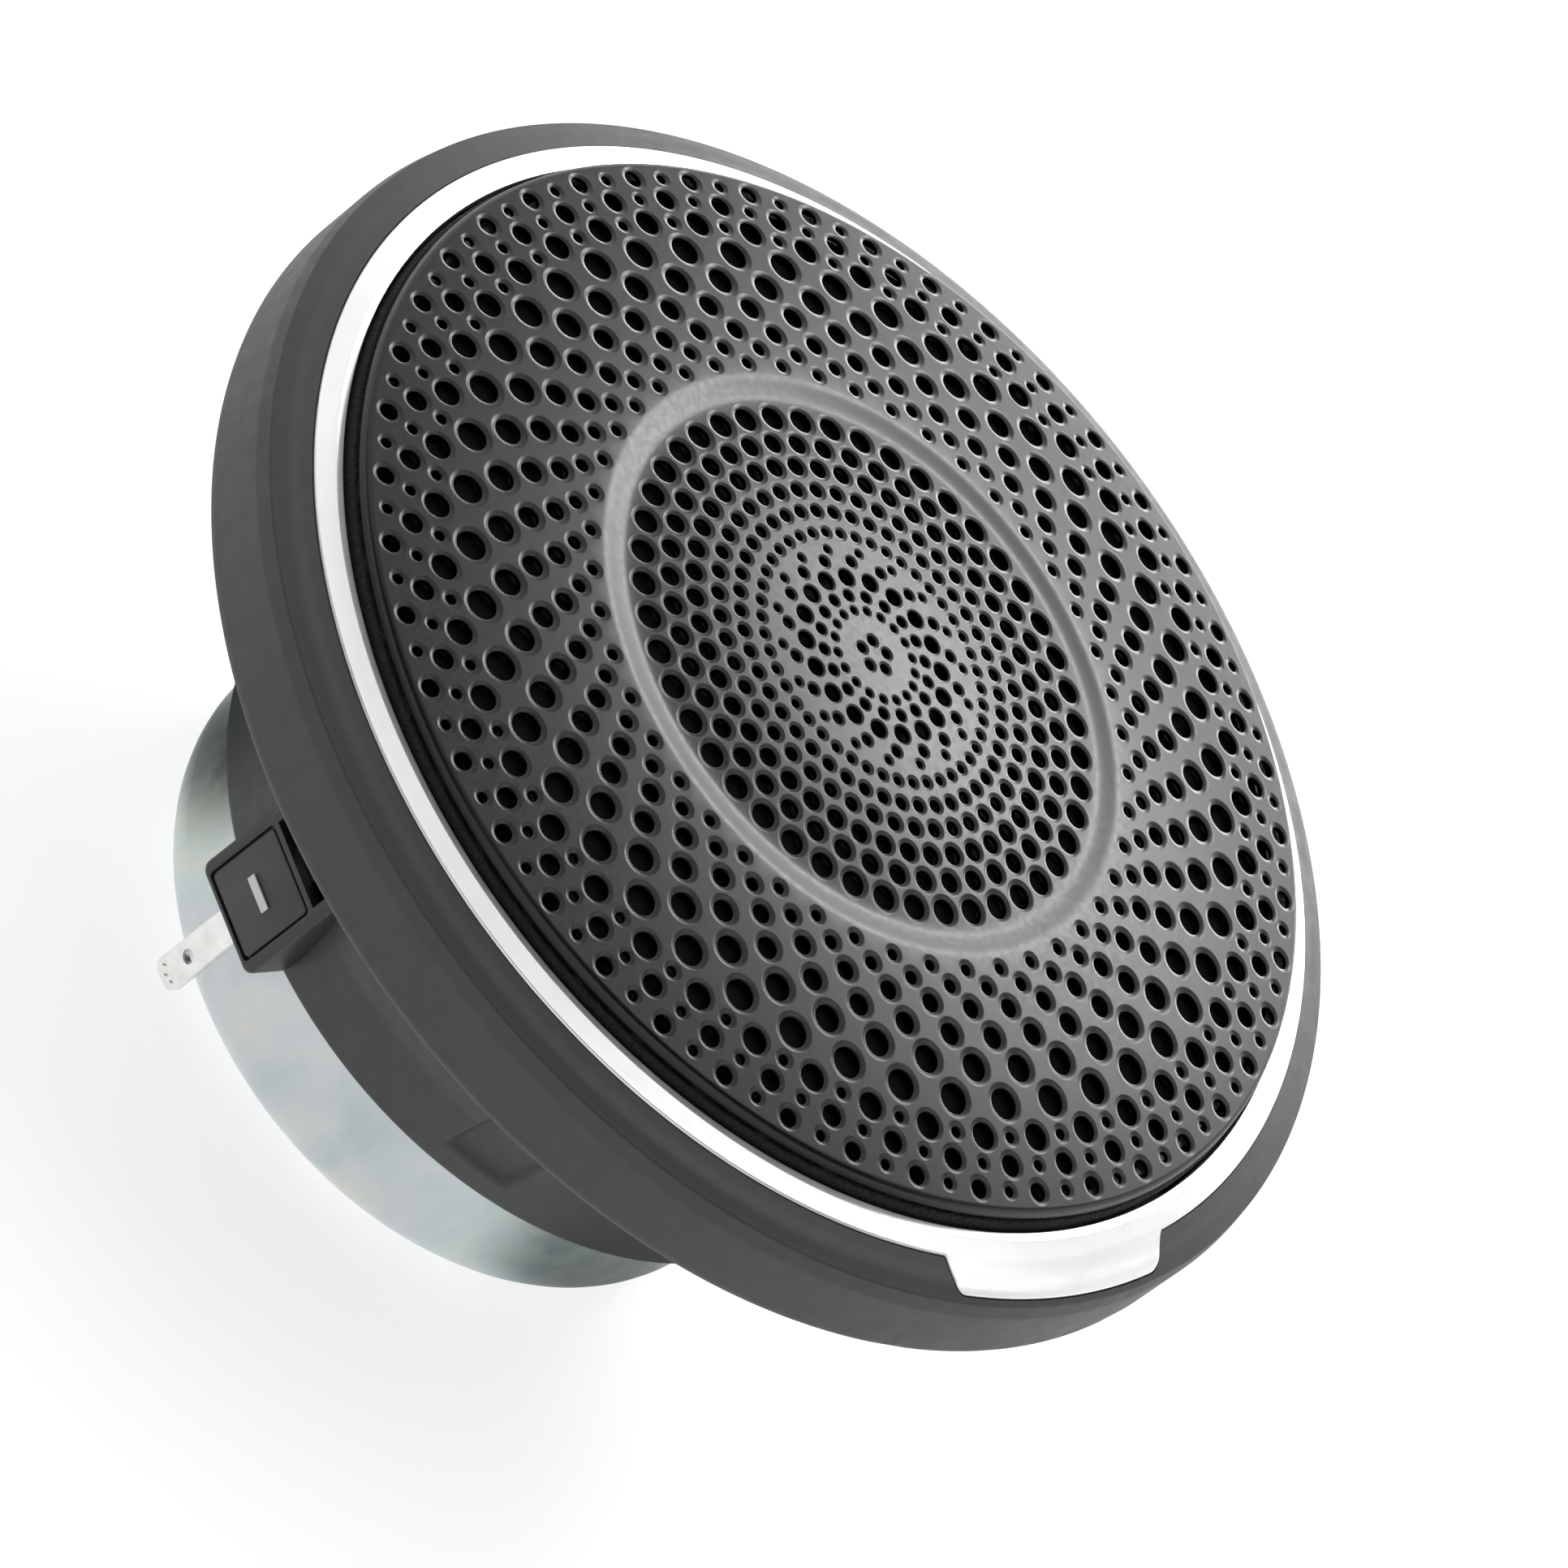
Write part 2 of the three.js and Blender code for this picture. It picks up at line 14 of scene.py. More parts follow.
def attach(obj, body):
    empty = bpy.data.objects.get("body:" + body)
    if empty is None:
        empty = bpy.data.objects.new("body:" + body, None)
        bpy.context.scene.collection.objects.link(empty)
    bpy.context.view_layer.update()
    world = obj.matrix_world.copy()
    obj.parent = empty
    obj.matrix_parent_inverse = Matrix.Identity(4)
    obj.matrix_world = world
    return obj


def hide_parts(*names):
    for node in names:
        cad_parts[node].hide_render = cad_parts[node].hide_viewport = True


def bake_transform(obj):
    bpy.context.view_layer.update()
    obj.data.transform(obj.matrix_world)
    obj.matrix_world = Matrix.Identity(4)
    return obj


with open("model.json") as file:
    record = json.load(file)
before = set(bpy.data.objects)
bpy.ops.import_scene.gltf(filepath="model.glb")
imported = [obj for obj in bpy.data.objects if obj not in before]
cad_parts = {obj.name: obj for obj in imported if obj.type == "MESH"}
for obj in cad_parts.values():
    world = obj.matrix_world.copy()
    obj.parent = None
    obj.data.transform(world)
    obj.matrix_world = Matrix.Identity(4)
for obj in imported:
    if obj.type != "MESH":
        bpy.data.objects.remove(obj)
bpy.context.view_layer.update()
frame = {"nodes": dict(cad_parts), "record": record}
nodes = frame["nodes"]

MM = 0.001
FINE = 288  # segments round the large visible rings
MID = 144  # segments round the hidden or smaller rings
SCREW_ANGLES = (45, 135, 225, 315)
SCREW_CIRCLE = 45.1
TERMINALS = (("neg", 180, 2.8, 0.6), ("pos", 0, 4.8, 0.8))  # name, azimuth, blade width, hole radius


# ---------------------------------------------------------------- mesh helpers


def add_mesh(name, vertices, faces, sharp=38.0, normals=None):
    """A smooth-shaded object from millimetre vertices, with doubled points merged.

    Where normals are given, the mesh has no doubled points and takes them as they are.
    """
    mesh = bpy.data.meshes.new(name)
    scaled = np.asarray(vertices, float) * MM
    mesh.from_pydata(scaled.tolist(), [], faces)
    work = bmesh.new()
    work.from_mesh(mesh)
    if normals is None:
        bmesh.ops.remove_doubles(work, verts=work.verts, dist=2e-7)
        bmesh.ops.dissolve_degenerate(work, edges=work.edges, dist=1e-8)
    bmesh.ops.recalc_face_normals(work, faces=work.faces)
    work.to_mesh(mesh)
    work.free()
    obj = bpy.data.objects.new(name, mesh)
    bpy.context.scene.collection.objects.link(obj)
    shade(obj, sharp)
    if normals is not None:
        mesh.normals_split_custom_set_from_vertices(np.asarray(normals).tolist())
    return obj


def shade(obj, sharp=38.0):
    obj.data.shade_smooth()
    obj.data.set_sharp_from_angle(angle=math.radians(sharp))


def bake_modifiers(obj):
    """Replaces the object's mesh by what its modifiers make of it."""
    bpy.context.view_layer.update()
    graph = bpy.context.evaluated_depsgraph_get()
    mesh = bpy.data.meshes.new_from_object(obj.evaluated_get(graph))
    obj.modifiers.clear()
    obj.data = mesh


def carve(obj, cutters):
    """Cuts the cutter objects out of obj and removes them."""
    for cutter in cutters:
        step = obj.modifiers.new("cut", "BOOLEAN")
        step.operation = "DIFFERENCE"
        step.solver = "EXACT"
        step.object = cutter
    bake_modifiers(obj)
    for cutter in cutters:
        bpy.data.objects.remove(cutter)
    return obj


def bevel(obj, width, segments=3, limit=30.0):
    step = obj.modifiers.new("bevel", "BEVEL")
    step.width = width * MM
    step.segments = segments
    step.limit_method = "ANGLE"
    step.angle_limit = math.radians(limit)
    step.harden_normals = False
    bake_modifiers(obj)
    shade(obj, 50.0)
    return obj


def spin(obj, degrees):
    """Turns the object's mesh about the speaker's axis."""
    obj.data.transform(Matrix.Rotation(math.radians(degrees), 4, "Z"))
    return obj


def rounded(outline, steps=4, support=0.12):
    """An outline of (r, z) or (r, z, fillet) points with each fillet drawn as an arc.

    An open outline has no fillet at its ends. Support points just outside an arc keep the shading
    of the flats beside it even.
    """
    points = []
    count = len(outline)
    for i, entry in enumerate(outline):
        fillet = entry[2] if len(entry) > 2 else 0
        here = Vector(entry[:2])
        if not fillet:
            points.append((here.x, here.y))
            continue
        back = Vector(outline[i - 1][:2]) - here
        ahead = Vector(outline[(i + 1) % count][:2]) - here
        reach_limit = 0.48 * min(back.length, ahead.length)
        back_dir, ahead_dir = back.normalized(), ahead.normalized()
        half = back_dir.angle(ahead_dir) / 2
        reach = min(fillet / math.tan(half), reach_limit)
        radius = reach * math.tan(half)
        centre = here + (back_dir + ahead_dir).normalized() * (radius / math.sin(half))
        start, end = here + back_dir * reach, here + ahead_dir * reach
        if support and reach + support < 0.5 * back.length:
            before = here + back_dir * (reach + support)
            points.append((before.x, before.y))
        a, b = start - centre, end - centre
        turn = a.angle_signed(b)
        for k in range(steps + 1):
            spoke = a.copy()
            spoke.rotate(Matrix.Rotation(-turn * k / steps, 2))
            points.append((centre.x + spoke.x, centre.y + spoke.y))
        if support and reach + support < 0.5 * ahead.length:
            after = here + ahead_dir * (reach + support)
            points.append((after.x, after.y))
    return points


def turned(outline, angle):
    """An (r, z) outline as points on the half plane at an angle in radians."""
    r, z = np.asarray(outline, float).T
    return np.column_stack((r * math.cos(angle), r * math.sin(angle), z))


def lathe(name, outline, segments=MID, sharp=38.0):
    """A closed (r, z) outline turned about the axis."""
    angles = np.linspace(0, 2 * math.pi, segments, endpoint=False)
    return loft(name, [turned(outline, angle) for angle in angles], sharp)


def loft(name, columns, sharp=38.0, round_trip=True):
    """Joins closed sections of equal length and, on a round trip, the last one back to the first."""
    size = len(columns[0])
    faces = []
    total = len(columns)
    for j in range(total if round_trip else total - 1):
        left, right = j * size, ((j + 1) % total) * size
        for i in range(size):
            after = (i + 1) % size
            faces.append((left + i, right + i, right + after, left + after))
    return add_mesh(name, np.vstack(columns), faces, sharp)


def prism(name, outline, inner, outer, sharp=38.0):
    """A (y, z) outline extruded along +X from inner to outer."""
    count = len(outline)
    vertices = [(inner, y, z) for y, z in outline] + [(outer, y, z) for y, z in outline]
    faces = [tuple(range(count)), tuple(range(count, 2 * count))]
    for i in range(count):
        after = (i + 1) % count
        faces.append((i, after, count + after, count + i))
    return add_mesh(name, vertices, faces, sharp)


def box(name, low, high):
    outline = [(low[1], low[2]), (high[1], low[2]), (high[1], high[2]), (low[1], high[2])]
    return prism(name, outline, low[0], high[0])


def plate_outline(width, bottom, top, corner, steps=5):
    """A rounded rectangle in (y, z)."""
    half = width / 2
    corners = [(-half, bottom), (half, bottom), (half, top), (-half, top)]
    return rounded([(y, z, corner) for y, z in corners], steps=steps, support=0)


def rod(name, radius, bottom, top, segments=32):
    return lathe(name, [(0, bottom), (radius, bottom), (radius, top), (0, top)], segments)


def tube(name, points, radius, sides=12, steps=6):
    """A round lead along a smooth curve through the points, with round ends closed by flat caps."""
    path = []
    ends = [Vector(points[0]) * 2 - Vector(points[1]), Vector(points[-1]) * 2 - Vector(points[-2])]
    knots = [ends[0], *[Vector(p) for p in points], ends[1]]
    for i in range(1, len(knots) - 2):
        a, b, c, d = knots[i - 1 : i + 3]
        for k in range(steps):
            t = k / steps
            square = 2 * a - 5 * b + 4 * c - d
            cube = 3 * b - a - 3 * c + d
            path.append(0.5 * ((2 * b) + (c - a) * t + square * t**2 + cube * t**3))
    path.append(knots[-2])
    vertices, faces = [], []
    side = Vector((0, 1, 0))
    for i, point in enumerate(path):
        ahead = path[min(i + 1, len(path) - 1)] - path[max(i - 1, 0)]
        ahead.normalize()
        up = ahead.cross(side).normalized()
        across = up.cross(ahead).normalized()
        for k in range(sides):
            angle = 2 * math.pi * k / sides
            vertices.append(point + radius * (math.cos(angle) * across + math.sin(angle) * up))
    for i in range(len(path) - 1):
        for k in range(sides):
            after = (k + 1) % sides
            a, b = i * sides, (i + 1) * sides
            faces.append((a + k, a + after, b + after, b + k))
    faces.append(tuple(range(sides)))
    faces.append(tuple(range(len(vertices) - sides, len(vertices))))
    return add_mesh(name, [tuple(v) for v in vertices], faces, 60)


# ---------------------------------------------------------------- materials


class Surface:
    """A Principled material and the few node patterns the pieces share."""

    def __init__(self, name, **sockets):
        self.material = bpy.data.materials.new(name)
        self.material.use_nodes = True
        self.tree = self.material.node_tree
        self.shader = self.tree.nodes["Principled BSDF"]
        for socket, value in sockets.items():
            self.shader.inputs[socket.replace("_", " ")].default_value = value
        self.height = None

    def node(self, kind, **values):
        made = self.tree.nodes.new(kind)
        for key, value in values.items():
            if key in made.inputs:
                made.inputs[key].default_value = value
            else:
                setattr(made, key, value)
        return made

    def link(self, a, b):
        self.tree.links.new(a, b)

    def object_space(self, scale=(1, 1, 1)):
        """The piece's own coordinates in millimetres, which ride with it at every pose."""
        coords = self.node("ShaderNodeTexCoord")
        mapping = self.node("ShaderNodeMapping")
        mapping.inputs["Scale"].default_value = [1000 * s for s in scale]
        self.link(coords.outputs["Object"], mapping.inputs["Vector"])
        return mapping.outputs["Vector"]

    def noise(self, size, detail=3.0, rough=0.55, stretch=(1, 1, 1), distortion=0.0):
        """Noise with features of the given size in millimetres."""
        made = self.node("ShaderNodeTexNoise")
        made.inputs["Scale"].default_value = 1 / size
        made.inputs["Detail"].default_value = detail
        made.inputs["Roughness"].default_value = rough
        made.inputs["Distortion"].default_value = distortion
        self.link(self.object_space(stretch), made.inputs["Vector"])
        return made.outputs["Fac"]

    def spread(self, value, low, high, to_low, to_high):
        """The value's range from low to high, eased to run from to_low to to_high."""
        made = self.node("ShaderNodeMapRange", clamp=True, interpolation_type="SMOOTHSTEP")
        made.inputs["From Min"].default_value = low
        made.inputs["From Max"].default_value = high
        made.inputs["To Min"].default_value = to_low
        made.inputs["To Max"].default_value = to_high
        self.link(value, made.inputs["Value"])
        return made.outputs["Result"]

    def ramp(self, value, stops):
        made = self.node("ShaderNodeValToRGB")
        elements = made.color_ramp.elements
        while len(elements) < len(stops):
            elements.new(0.5)
        for element, (place, colour) in zip(elements, stops):
            element.position = place
            element.color = (*colour, 1)
        self.link(value, made.inputs["Fac"])
        return made.outputs["Color"]

    def colour(self, value, stops):
        self.link(self.ramp(value, stops), self.shader.inputs["Base Color"])
        return self

    def roughness(self, noise, low, high):
        """Spreads the usual range of a noise over the roughness from low to high."""
        self.link(self.spread(noise, 0.3, 0.7, low, high), self.shader.inputs["Roughness"])
        return self

    def bump(self, value, depth, strength=1.0):
        """Adds relief of the given depth in millimetres on top of any relief already there."""
        made = self.node("ShaderNodeBump")
        made.inputs["Strength"].default_value = strength
        made.inputs["Distance"].default_value = depth * MM
        self.link(value, made.inputs["Height"])
        if self.height:
            self.link(self.height, made.inputs["Normal"])
        self.height = made.outputs["Normal"]
        self.link(self.height, self.shader.inputs["Normal"])
        return self


def grey(value):
    return (value, value, value)


def zinc_plate():
    s = Surface("zinc_plate", Metallic=1.0, Roughness=0.3)
    clouds = s.noise(9, 4, 0.5, (1, 1, 0.5), 0.6)
    stops = [
        (0.3, (0.5, 0.56, 0.58)),
        (0.5, (0.6, 0.64, 0.65)),
        (0.62, (0.66, 0.67, 0.62)),
        (0.75, (0.54, 0.6, 0.64)),
    ]
    s.colour(clouds, stops)
    s.roughness(s.noise(2.2, 5), 0.26, 0.38)
    s.bump(s.noise(0.5, 4, 0.6, (1, 1, 0.25)), 0.004, 0.5)
    return s


def bare_steel():
    s = Surface("steel", Metallic=1.0)
    s.colour(s.noise(3), [(0.3, grey(0.42)), (0.7, grey(0.52))])
    s.roughness(s.noise(0.4, 4), 0.3, 0.45)
    s.bump(s.noise(0.2, 3, 0.6, (1, 1, 6)), 0.006)
    return s


def ferrite():
    s = Surface("ferrite", Metallic=0.0)
    s.colour(s.noise(0.6, 5), [(0.3, grey(0.03)), (0.7, grey(0.055))])
    s.roughness(s.noise(0.8), 0.5, 0.75)
    s.bump(s.noise(0.35, 5), 0.03)
    return s


def copper():
    s = Surface("copper", Metallic=1.0)
    s.colour(s.noise(1.2), [(0.3, (0.62, 0.3, 0.13)), (0.7, (0.78, 0.42, 0.2))])
    s.roughness(s.noise(0.6), 0.25, 0.4)
    wave = s.node("ShaderNodeTexWave", bands_direction="Z", wave_profile="SIN")
    wave.inputs["Scale"].default_value = 1.4
    s.link(s.object_space(), wave.inputs["Vector"])
    s.bump(wave.outputs["Fac"], 0.06)
    return s


def moulded(name, low, high, rough, grain, depth, **sockets):
    """Moulded plastic or paint: a nearly even colour, a fine grain and slightly uneven gloss."""
    s = Surface(name, **sockets)
    s.colour(s.noise(6, 4), [(0.3, low), (0.7, high)])
    s.roughness(s.noise(1.5, 5), rough - 0.04, rough + 0.04)
    s.bump(s.noise(grain, 3, 0.6), depth)
    return s


def grille_paint():
    s = Surface("grille_paint", Specular_IOR_Level=0.38)
    speck = s.noise(0.16, 2, 0.7)
    s.colour(speck, [(0.3, grey(0.001)), (0.62, grey(0.003)), (0.8, grey(0.012))])
    s.roughness(s.noise(0.5, 4), 0.3, 0.35)
    s.bump(s.noise(0.13, 3, 0.7), 0.0016)
    return s


def satin_chrome():
    s = Surface("satin_chrome", Metallic=1.0)
    s.colour(s.noise(8), [(0.3, grey(0.86)), (0.7, grey(0.92))])
    s.roughness(s.noise(2.5, 3), 0.38, 0.42)
    s.bump(s.noise(0.6, 2, 0.5), 0.0006)
    return s


def foam():
    s = Surface("foam", Roughness=0.95)
    cells = s.node("ShaderNodeTexVoronoi", feature="F1")
    cells.inputs["Scale"].default_value = 3.2
    s.link(s.object_space(), cells.inputs["Vector"])
    stops = [(0.1, grey(0.003)), (0.45, (0.009, 0.008, 0.0075)), (0.8, (0.016, 0.0145, 0.013))]
    s.colour(cells.outputs["Distance"], stops)
    s.bump(cells.outputs["Distance"], 0.12)
    s.bump(s.noise(0.25, 4), 0.06)
    return s


def woven(name, dark, light, pitch, depth, sheen=0.15, shine=0.5):
    """A plain weave: two crossed sets of threads."""
    s = Surface(name, Roughness=0.85, Sheen_Weight=sheen, Specular_IOR_Level=shine)
    waves = []
    for direction in ("X", "Y"):
        wave = s.node("ShaderNodeTexWave", bands_direction=direction, wave_profile="SIN")
        wave.inputs["Scale"].default_value = 1 / (pitch * 2)
        wave.inputs["Distortion"].default_value = 0.3
        s.link(s.object_space(), wave.inputs["Vector"])
        waves.append(wave.outputs["Fac"])
    both = s.node("ShaderNodeMath", operation="MULTIPLY")
    s.link(waves[0], both.inputs[0])
    s.link(waves[1], both.inputs[1])
    s.colour(both.outputs[0], [(0.1, dark), (0.7, light)])
    s.bump(both.outputs[0], depth)
    return s


def pulp():
    s = Surface("cone_pulp", Roughness=0.8)
    fibres = s.noise(0.7, 6, 0.7, (1, 1, 1), 2.5)
    s.colour(fibres, [(0.3, grey(0.012)), (0.6, grey(0.03)), (0.8, grey(0.055))])
    s.roughness(s.noise(1.2), 0.6, 0.85)
    s.bump(fibres, 0.06)
    return s


def tab_metal():
    s = Surface("tab_metal", Metallic=1.0)
    s.colour(s.noise(1.6, 4), [(0.3, (0.8, 0.8, 0.78)), (0.7, (0.92, 0.92, 0.9))])
    s.roughness(s.noise(0.5, 4), 0.28, 0.42)
    s.bump(s.noise(0.15, 3, 0.6, (6, 6, 1)), 0.004)
    return s


def solder():
    s = Surface("solder_brass", Metallic=1.0)
    stops = [(0.35, (0.8, 0.56, 0.16)), (0.55, (0.88, 0.7, 0.34)), (0.7, (0.86, 0.85, 0.8))]
    s.colour(s.noise(0.9), stops)
    s.roughness(s.noise(0.4), 0.18, 0.3)
    s.bump(s.noise(0.5), 0.05)
    return s


def mark_paint():
    s = Surface("mark_paint")
    s.colour(s.noise(0.3, 4), [(0.3, grey(0.58)), (0.7, grey(0.66))])
    s.roughness(s.noise(0.3), 0.5, 0.65)
    s.bump(s.noise(0.12), 0.01)
    return s


SURFACES = {
    "zinc_plate": zinc_plate(),
    "steel": bare_steel(),
    "ferrite": ferrite(),
    "copper": copper(),
    "basket_plastic": moulded("basket_plastic", grey(0.022), grey(0.026), 0.5, 0.3, 0.004),
    "spider_cloth": woven("spider_cloth", (0.28, 0.17, 0.05), (0.6, 0.42, 0.16), 0.32, 0.08),
    "former_film": moulded("former_film", (0.5, 0.33, 0.14), (0.6, 0.42, 0.2), 0.35, 0.8, 0.01),
    "cone_pulp": pulp(),
    "surround_rubber": moulded("surround_rubber", grey(0.016), grey(0.02), 0.45, 0.25, 0.01),
    "black_plastic": moulded("black_plastic", grey(0.018), grey(0.024), 0.42, 0.25, 0.02),
    "textured_plastic": moulded("textured_plastic", grey(0.04), grey(0.056), 0.6, 0.22, 0.04),
    "mark_paint": mark_paint(),
    "tab_metal": tab_metal(),
    "solder_brass": solder(),
    "foam": foam(),
    "soft_touch": moulded("soft_touch", grey(0.034), grey(0.038), 0.55, 0.2, 0.004),
    "screw_steel": moulded(
        "screw_steel", grey(0.05), grey(0.07), 0.35, 0.2, 0.01, Specular_IOR_Level=1.0, Metallic=0.8
    ),
    "satin_chrome": satin_chrome(),
    "grille_paint": grille_paint(),
    "grille_cloth": woven("grille_cloth", grey(0.001), grey(0.024), 0.27, 0.05, sheen=0, shine=0.15),
}

SLOT_OF = {row["node"]: row["material_slot"] for row in frame["record"]["subparts"]}


def dress(obj, slot):
    obj.data.materials.clear()
    obj.data.materials.append(SURFACES[slot].material)
    return obj


def stand_in(obj, body, node):
    """Gives a new piece its body and the material of the slot of the CAD node it stands for, and hides that
    node.
    """
    slot = SLOT_OF[node]
    dress(obj, slot)
    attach(obj, body)
    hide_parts(node)
    return obj


def bend_between(obj, node):
    """Gives a piece the material of its CAD node's slot, bakes its placement into its mesh and hides that
    node.
    """
    slot = SLOT_OF[node]
    dress(obj, slot)
    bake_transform(obj)
    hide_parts(node)


# ---------------------------------------------------------------- motor

cup = rounded(
    [(0, 0), (29, 0, 5.5), (29, 16.6, 0.25), (26.4, 16.6, 0.2), (26.4, 2.6, 2.6), (0, 2.6)], steps=10
)
stand_in(lathe("motor_shell", cup, FINE), "driver", "motor_cup")

for name in ("yoke", "magnet_ring", "top_plate", "pole_cap", "voice_coil_former", "voice_coil"):
    dress(nodes[name], SLOT_OF[name])


# ---------------------------------------------------------------- basket

# A shallow pocket in the bowl's side, at each screw: half width, lower and upper ends, depth, and
# how far its sides and ends take to run out
POCKET = {"half": 2.4, "rear": 17.8, "front": 33.0, "depth": 0.6, "side": 0.9, "end": 1.2}
POCKET_REACH = 8  # degrees either side of a screw within which its pocket lies


def smooth_step(value, edge, width):
    """0 below edge, 1 above edge + width."""
    t = np.clip((value - edge) / width, 0, 1)
    return t * t * (3 - 2 * t)


def bowl_curve():
    """The bowl's outer line in small steps, its corners eased."""
    corners = [(32.3, 15.1), (34.2, 23, 6), (36.2, 28, 5), (39.6, 33, 6), (42.6, 37.6, 1.2), (42.6, 42.2)]
    line_r, line_z = np.array(rounded(corners, steps=8)).T
    skirt = [15.1, 15.2, 15.35]
    heights = np.concatenate((skirt, np.arange(15.7, 37.2, 0.3), np.arange(37.2, 42.2, 0.6), [42.2]))
    radii = np.interp(heights, line_z, line_r)
    radii[0] -= 0.2  # the skirt's lower edge is rounded
    radii[1] -= 0.06
    return radii, heights


def basket_shell():
    """The bowl with its side pockets and the windows behind the terminals."""
    radii, heights = bowl_curve()
    inside = rounded(
        [
            (40.2, 42.2, 0.3),
            (40.4, 37.6, 1),
            (37.4, 33, 4),
            (34.0, 28, 4),
            (32.0, 23.4, 0.3),
            (27.5, 23.4, 0.3),
            (27.5, 19.4, 0.3),
            (14.3, 19.4),
            (14.3, 17.2),
            (29.4, 17.2, 0.2),
            (29.4, 15.1, 0.2),
        ],
    )
    inner_r, inner_z = np.array(inside).T
    degrees = set(np.linspace(0, 360, 240, endpoint=False))
    for middle in SCREW_ANGLES:
        degrees |= {middle + step for step in np.arange(-6.0, 6.01, 0.25)}
    columns = []
    for angle in sorted(round(d % 360, 4) for d in degrees):
        shape = radii
        for middle in SCREW_ANGLES:
            away = (angle - middle + 180) % 360 - 180
            if abs(away) > POCKET_REACH:
                continue
            across = abs(np.radians(away)) * radii
            sides = 1 - smooth_step(across, POCKET["half"], POCKET["side"])
            ends = smooth_step(heights, POCKET["rear"], POCKET["end"])
            ends *= 1 - smooth_step(heights, POCKET["front"], POCKET["end"])
            shape = shape - POCKET["depth"] * sides * ends
        r = np.concatenate((shape, inner_r))
        z = np.concatenate((heights, inner_z))
        columns.append(turned(np.column_stack((r, z)), math.radians(angle)))
    shell = loft("basket_shell", columns, 42)
    windows = []
    for name, angle, _, _ in TERMINALS:
        windows.append(spin(box("window_" + name, (28, -3.7, 24.8), (39.6, 3.7, 31)), angle))
        windows.append(spin(box("relief_" + name, (33.8, -3.7, 20), (36.6, 3.7, 26)), angle))
    carve(shell, windows)
    shade(shell, 42)
    return shell


stand_in(basket_shell(), "driver", "basket")


def drilled(obj, radius, bottom, top):
    """Cuts the four screw holes through obj."""
    holes = []
    for angle in SCREW_ANGLES:
        hole = rod("hole", radius, bottom, top)
        hole.data.transform(Matrix.Translation((SCREW_CIRCLE * MM, 0, 0)))
        holes.append(spin(hole, angle))
    carve(obj, holes)
    shade(obj)
    return obj


flange = rounded([(42.9, 39.8, 0.15), (49.6, 39.8, 0.3), (49.6, 42.2, 0.3), (42.9, 42.2, 0.15)])
stand_in(drilled(lathe("flange_plate", flange, FINE), 1.7, 39, 43), "driver", "flange_ring")

gasket = rounded([(43.2, 38.6, 0.3), (49, 38.6, 0.3), (49, 39.5, 0.2), (43.2, 39.5, 0.2)])
stand_in(drilled(lathe("mounting_seal", gasket, FINE), 2.0, 38, 40), "driver", "mounting_gasket")


# ---------------------------------------------------------------- tray ring with the nameplate's pocket

POCKET_GAP = 0.12  # clear space between the nameplate and its pocket
POCKET_SUNK = 0.7  # depth of the nameplate's pocket
INNER_POINTS = 8  # the first points of the tray's section, inside the nameplate's inner edge
# The nameplate: the azimuth of its middle, inner and outer radius, corner and flare radii, and its
# half width in degrees at the inner and the outer radius
PLATE = {
    "azimuth": 270,
    "root": 48.65,
    "outer": 51.35,
    "corner": 0.8,
    "flare": 0.5,
    "root_half": 14.5,
    "outer_half": 12.6,
}


def plate_half_angle(radius, margin=0.0):
    """Half the nameplate's opening in degrees at a radius, with both its corners rounded."""
    outer = PLATE["outer"] + margin
    slope = (PLATE["root_half"] - PLATE["outer_half"]) / (PLATE["outer"] - PLATE["root"])
    half = PLATE["root_half"] - slope * (radius - PLATE["root"])
    corner = np.clip((radius - outer + PLATE["corner"]) / PLATE["corner"], 0, 1)
    flare = np.clip((PLATE["root"] + PLATE["flare"] - radius) / PLATE["flare"], 0, 1)
    eased = -PLATE["corner"] * (1 - np.sqrt(1 - corner**2))
    eased = eased + PLATE["flare"] * (1 - np.sqrt(1 - flare**2))
    return half + np.degrees((eased + margin) / radius)


def front_height(radius):
    """The height of the tray's front face at a radius."""
    corners = [(48.4, 49.26), (49.8, 48.65, 1.5), (50.8, 48.35, 1.5), (51.9, 47.6)]
    return np.interp(radius, *np.array(rounded(corners)).T)


